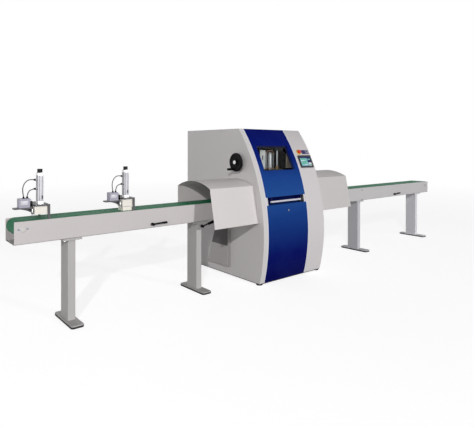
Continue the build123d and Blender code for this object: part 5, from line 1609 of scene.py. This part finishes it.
# %% Position switches
SWITCH_AT, HOLDER_SOFT = Vector((-0.0660, -0.030, 0.9290)), 0.0008
SWITCH_PROFILE = [
    (0, 0), (0.0055, 0.0005), (0.006, 0.002), (0.006, 0.040), (0.0048, 0.043), (0.0048, 0.0575), (0, 0.0575),
]
SWITCH_NUT, SWITCH_NUT_TALL, SWITCH_NUTS_UP = 0.0105, 0.005, (0.018, 0.028)
HOLDER = (-0.074, -0.0535), (-0.040, -0.020), (0.9525, 0.9565)
PORTAL_SCREW_X, PORTAL_SCREW_Y, PORTAL_TOP, PORTAL_SCREW = (-0.044, 0.052), (-0.054, 0.150), 1.0179, 0.0052
for x in PRESSER_X.values():
    switch = aim(Vector((x, PRESSER_Y, 0)) + SWITCH_AT)
    presser.turned(SWITCH_PROFILE, switch, "zinc_screw", 18)
    for up in SWITCH_NUTS_UP:
        presser.turned(disc(SWITCH_NUT, up, up + SWITCH_NUT_TALL), switch, "black_plastic", 6)
    at_presser(x, *HOLDER, HOLDER_SOFT, "zinc_screw")
    for across in PORTAL_SCREW_X:
        for deep in PORTAL_SCREW_Y:
            spot = (x + across, PRESSER_Y + deep, PORTAL_TOP)
            screw(presser, aim(spot), PORTAL_SCREW, "zinc_screw")
presser.done()

# %% [markdown]
# ## Foot mats
# Each leg stands on a foot plate in a shallow rubber tray, which shows as a dark edge; that dark rim also
# paints the shade along the plate's lower edge. The CAD has a plain pad there. One hollow solid would do for
# the tray, but two cut sheets are simpler: a mat with two anchor holes under the plate, and a low rim round
# it.

# %% Foot mats
HEAD_HALF, FOOT_HALF_X, FOOT_HALF_Y, FOOT_CORNER = 0.080, 0.0525, 0.210, 0.020
ANCHOR_OFF, ANCHOR_HOLE = 0.175, 0.0105
MAT_LOW, MAT_THICK, MAT_INSIDE = 0.0003, 0.0056, 0.0006
SHADE_RIM_TOP, SHADE_RIM_OUT, SHADE_RIM_INSIDE = 0.016, 0.0018, 0.0004
foot_y = middle_of("infeed_legs").y
leg_x = []
for name in ("infeed_legs", "outfeed_legs"):
    legs_low, legs_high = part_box(name)
    leg_x += [legs_low.x + HEAD_HALF, legs_high.x - HEAD_HALF]
mats = SmallParts("foot_mats_and_shade_rims", "machine", "drive_rubber")
mat_floor = level_plate(MAT_LOW)


def foot_outline(x, grow):
    """Outline of a foot plate, grown by a margin."""
    return rounded(*about(x, FOOT_HALF_X + grow), *about(foot_y, FOOT_HALF_Y + grow), FOOT_CORNER + grow)


for x in leg_x:
    anchors = [circle(x, y, ANCHOR_HOLE) for y in about(foot_y, ANCHOR_OFF)]
    mats.sheet(foot_outline(x, -MAT_INSIDE), MAT_THICK, mat_floor, holes=anchors)
    # Dark rim round the plate, which paints the shade along its lower edge.
    mats.sheet(foot_outline(x, SHADE_RIM_OUT), SHADE_RIM_TOP - MAT_LOW, mat_floor, holes=[foot_outline(x, -SHADE_RIM_INSIDE)])
mats.done()

# %% [markdown]
# ## Base skirt
# A dark line runs along the lower edge of the housing, the shade in the gap under the panels. It was read as
# a rubber skirt between the panels and the levelling feet, and made as a ring of dark sheet just inside the
# panels, which is painted shade.

# %% Base skirt
SHADE_SKIRT_LOW, SHADE_SKIRT_TOP, SHADE_SKIRT_WALL, SHADE_SKIRT_IN = 0.0125, 0.0203, 0.006, 0.0015
SHADE_SKIRT_FRONT, SHADE_SKIRT_CORNER, SHADE_SKIRT_INNER_CORNER = -0.6755, 0.008, 0.003
side_left, side_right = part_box("infeed_side_panel")[0].x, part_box("outfeed_side_panel")[1].x
back_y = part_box("top_cover")[1].y


def shade_skirt_outline(inside, corner):
    """Outline of the skirt, drawn in by a margin."""
    return rounded(side_left + SHADE_SKIRT_IN + inside, side_right - SHADE_SKIRT_IN - inside,
                   SHADE_SKIRT_FRONT + inside, back_y - SHADE_SKIRT_IN - inside, corner)


# Painted shade: a dark ring under the panels' lower edge.
shade_skirt = SmallParts("base_shade_skirt", "machine", "drive_rubber")
shade_skirt.sheet(shade_skirt_outline(0, SHADE_SKIRT_CORNER), SHADE_SKIRT_TOP - SHADE_SKIRT_LOW, level_plate(SHADE_SKIRT_LOW),
            holes=[shade_skirt_outline(SHADE_SKIRT_WALL, SHADE_SKIRT_INNER_CORNER)])
shade_skirt.done()

# %% [markdown]
# ## Beam bolts
# Each column is bolted to its beam through the head plate. The tail rollers run in flanged bearings at
# the ends of the beams, and the outfeed beam has a joint with two bolts. All of them are the same
# hexagons in three sizes.

# %% Beam bolts
HEAD_LOW, HEAD_BOLT_X, HEAD_BOLT_Y, HEAD_BOLT, HEAD_BOLT_TALL = 0.700, 0.062, (-0.392, -0.232), 0.0085, 0.0075
BEARING_PROFILE = [
    (0, 0), (0.0245, 0), (0.0245, 0.003), (0.0185, 0.0075), (0.012, 0.0085), (0.0105, 0.0068), (0, 0.0068),
]
BEARING_SUNK, FLANGE_BOLT_SUNK, FLANGE_BOLT_X = 0.0004, 0.0003, 0.034
FLANGE_BOLT, FLANGE_BOLT_TALL = 0.0065, 0.006
JOINT_X, JOINT_Z, JOINT_BOLT, JOINT_BOLT_TALL, ROLLER_Z = 1.344, (0.866, 0.730), 0.0072, 0.0062, 0.8364
beam_low, beam_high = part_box("infeed_beam")
bolts = SmallParts("beam_bolts", "machine", "zinc_screw", "screw_paint", "dark_nickel")
for x in leg_x:
    for bolt_x in about(x, HEAD_BOLT_X):
        for y in HEAD_BOLT_Y:
            hexagon(bolts, aim((bolt_x, y, HEAD_LOW), -UP), HEAD_BOLT, HEAD_BOLT_TALL)
for roller in ("infeed_tail_roller", "outfeed_tail_roller"):
    roller_x = middle_of(roller).x
    for y, way in ((beam_low.y, -1), (beam_high.y, 1)):
        outwards = (0, way, 0)
        bearing = aim((roller_x, y - way * BEARING_SUNK, ROLLER_Z), outwards)
        bolts.turned(BEARING_PROFILE, bearing, "screw_paint", 32)
        for bolt_x in about(roller_x, FLANGE_BOLT_X):
            bolt = aim((bolt_x, y - way * FLANGE_BOLT_SUNK, ROLLER_Z), outwards)
            hexagon(bolts, bolt, FLANGE_BOLT, FLANGE_BOLT_TALL, "dark_nickel")
for z in JOINT_Z:
    joint = aim((JOINT_X, beam_low.y, z), OPERATOR_SIDE)
    hexagon(bolts, joint, JOINT_BOLT, JOINT_BOLT_TALL, "dark_nickel")
bolts.done()

# %% [markdown]
# ## Lever grip
# The CAD gives the three clamp levers the same slim handle, but the one on the inner leg looks thicker. A
# plain cylinder round it would look stiff. So a grip is turned to a shape that fits the hand, and it
# rides on the lever.

# %% Lever grip
LEVER_ROOT, LEVER_RISE, GRIP_SMOOTH = (-1.514, -0.431864, 0.670), math.radians(13), 40
GRIP_PROFILE = [
    (0, 0.074), (0.0115, 0.074), (0.0140, 0.077), (0.0150, 0.090), (0.0138, 0.106), (0.0158, 0.124),
    (0.0160, 0.142), (0.0142, 0.152), (0.0090, 0.157), (0, 0.158),
]
grip = SmallParts("leg_lever_grip", "leg_lever", "black_plastic")
grip.turned(GRIP_PROFILE, aim(LEVER_ROOT, (math.cos(LEVER_RISE), 0, math.sin(LEVER_RISE))), steps=28)
grip.done(GRIP_SMOOTH)

# %% [markdown]
# ## Panel screws
# The panels are screwed to the frame along their edges. The screws stand in rows, so lists of places for
# the sides and for the back are worked out first, and one loop sets a screw at each.

# %% Panel screws
SCREW_ROWS_Z, LOW_ROW, HIGH_ROW = (0.10, 0.48, 0.86, 1.24, 1.62), 0.052, 1.662
SIDE_EDGE_Y, SIDE_HIGH_Y, SIDE_LOW_Y = 0.655, (-0.10, 0.16, 0.41), (-0.52, -0.28, 0.32)
BACK_EDGE_IN, BACK_X = 0.028, (-0.68, -0.44, -0.20)
GUARD_SCREW_Z, GUARD_SCREW_FRONT, GUARD_SCREW_BACK, GUARD_SCREW = (0.150, 0.330), 0.020, 0.022, 0.0045
side_spots = [(SIDE_EDGE_Y, z) for z in SCREW_ROWS_Z]
side_spots += [(y, HIGH_ROW) for y in SIDE_HIGH_Y] + [(y, LOW_ROW) for y in SIDE_LOW_Y]
back_spots = [(x, z) for x in (side_left + BACK_EDGE_IN, side_right - BACK_EDGE_IN) for z in SCREW_ROWS_Z]
back_spots += [(x, z) for x in BACK_X for z in (LOW_ROW, HIGH_ROW)]
screws = SmallParts("panel_screws", "machine", "screw_paint")
for y, z in side_spots:
    screw(screws, aim((side_left, y, z), AGAINST_FEED))
    screw(screws, aim((side_right, y, z), WITH_FEED))
for x, z in back_spots:
    screw(screws, aim((x, back_y, z), REAR_SIDE))
for z in GUARD_SCREW_Z:
    for y in (guard_low.y + GUARD_SCREW_FRONT, guard_back(z) - GUARD_SCREW_BACK):
        screw(screws, aim((guard_low.x, y, z), AGAINST_FEED), GUARD_SCREW)
screws.done()

# %% [markdown]
# ## Louvres and hatch
# The back is guessed. Each louvre has a lip that keeps chips out, and a flat hatch on two hinges, with
# two locks and a rubber edge, gives access to the saw. A lip is a thin sheet across the feed, and the
# rest is cut and turned.

# %% Louvres and hatch
LOUVRE_X, LOUVRE_HALF, LOUVRE_LOW, LOUVRE_STEP, LOUVRE_ROWS = (-0.690, -0.190), 0.113, 1.300, 0.026, 9
LIP = ((-0.0004, 0.0100), (0.0085, -0.0010), (0.0078, -0.0026), (-0.0004, 0.0068))
HATCH_X, HATCH_HALF, HATCH_LOW, HATCH_HIGH, HATCH_CORNER = -0.440, 0.330, 0.640, 1.190, 0.018
HATCH_SUNK, HATCH_THICK, EDGE_OUT, EDGE_THICK = 0.0004, 0.0034, 0.0035, 0.0011
HINGE_PROFILE = [(0, -0.028), (0.0062, -0.028), (0.007, -0.026), (0.007, 0.026), (0.0062, 0.028), (0, 0.028)]
LOCK_PROFILE = [
    (0, 0.0012), (0.0035, 0.0012), (0.0035, 0.0042), (0.0095, 0.0042), (0.0125, 0.0025), (0.0125, 0), (0, 0),
]
HINGE_Z, HINGE_OUT, HINGE_BEHIND, LOCK_IN, LOCK_BEHIND = (0.740, 1.090), 0.006, 0.0065, 0.035, 0.002
back = SmallParts("rear_fittings", "machine", "housing_grey", "duct_zinc", "zinc_screw", "drive_rubber")
for x in LOUVRE_X:
    for row in range(LOUVRE_ROWS):
        z = LOUVRE_LOW + LOUVRE_STEP * row
        lip = [(back_y + out, z + up) for out, up in LIP]
        back.sheet(lip, 2 * LOUVRE_HALF, upright_plate(WITH_FEED, (x - LOUVRE_HALF, 0, 0)))
hatch = upright_plate(REAR_SIDE, (HATCH_X, back_y - HATCH_SUNK, 0))
for grow, thick, coat in ((EDGE_OUT, EDGE_THICK, "drive_rubber"), (0, HATCH_THICK, "housing_grey")):
    back.sheet(rounded(-HATCH_HALF - grow, HATCH_HALF + grow, HATCH_LOW - grow, HATCH_HIGH + grow,
                       HATCH_CORNER + grow), thick, hatch, coat)
for z in HINGE_Z:
    hinge = aim((HATCH_X - HATCH_HALF - HINGE_OUT, back_y + HINGE_BEHIND, z))
    lock = aim((HATCH_X + HATCH_HALF - LOCK_IN, back_y + LOCK_BEHIND, z), REAR_SIDE)
    back.turned(HINGE_PROFILE, hinge, "zinc_screw")
    back.turned(LOCK_PROFILE, lock, "zinc_screw", 28)
back.so_far()

# %% [markdown]
# ## Spigot bead and bulkhead nuts
# The extraction spigot ends in a rolled bead that keeps a hose on it, and the two bulkhead fittings are
# held by nuts. The bead is a closed ring turned round the spigot's axis.

# %% Spigot bead and bulkhead nuts
SPIGOT_Z, SPIGOT_RADIUS, BEAD_BEHIND = 0.420, 0.080, 0.036
BEAD_SHAPE = ((-0.0006, 0), (0.0022, 0.0012), (0.0034, 0.004), (0.0022, 0.0068), (-0.0006, 0.008))
BULKHEAD_X, BULKHEADS, BULKHEAD_TALL = -0.100, ((0.300, 0.026), (0.420, 0.0175)), 0.010
bead = aim((middle_of("dust_spout").x, back_y + BEAD_BEHIND, SPIGOT_Z), REAR_SIDE)
back.turned([(SPIGOT_RADIUS + out, along) for out, along in BEAD_SHAPE], bead, "duct_zinc", 64)
for z, size in BULKHEADS:
    hexagon(back, aim((BULKHEAD_X, back_y, z), REAR_SIDE), size, BULKHEAD_TALL, "zinc_screw")
back.done()

# %% [markdown]
# ## Saw blade tips
# The blade carries a hard tip on each tooth, wider than the plate. The tips are set where the CAD blade
# has its highest points, so they fit whatever its number of teeth is.

# %% Saw blade tips
TIP_PROUD, TIP_DEEP, TIP_SHORT, TIP_SOFT, TOOTH_TOP = 0.0006, 0.0100, 0.0006, 0.0004, 0.0008
TIP_BEHIND, TIP_AHEAD = -0.0012, 0.0016
blade_low, blade_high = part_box("saw_blade")
blade_middle = (blade_low + blade_high) / 2
blade_half, blade_radius = (blade_high.x - blade_low.x) / 2, (blade_high.z - blade_low.z) / 2
teeth = set()
for corner in nodes["saw_blade"].data.vertices:
    arm = corner.co - blade_middle
    if math.hypot(arm.y, arm.z) > blade_radius - TOOTH_TOP:
        teeth.add(round(math.degrees(math.atan2(arm.z, arm.y)), 1))
tips = SmallParts("blade_tips", "saw_arbor", "dark_nickel")
tip_low = (-blade_half - TIP_PROUD, blade_radius - TIP_DEEP, TIP_BEHIND)
tip_high = (blade_half + TIP_PROUD, blade_radius - TIP_SHORT, TIP_AHEAD)
for angle in sorted(teeth):
    turned_to = Matrix.Translation(blade_middle) @ Matrix.Rotation(math.radians(angle), 4, "X")
    tips.block(tip_low, tip_high, TIP_SOFT, at=turned_to)
tips.done()

# %% [markdown]
# ## Sizes and finish
# The visual model is meant to stay within the CAD model's box, so both boxes are measured and the largest
# growth past it is printed.

# %% Sizes and finish
size_box = [list(corner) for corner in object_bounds()]
below = max(c - v for c, v in zip(cad_box[0], size_box[0]))
above = max(v - c for c, v in zip(cad_box[1], size_box[1]))
print("largest growth past the CAD box, mm:", round(1000 * max(below, above), 2))
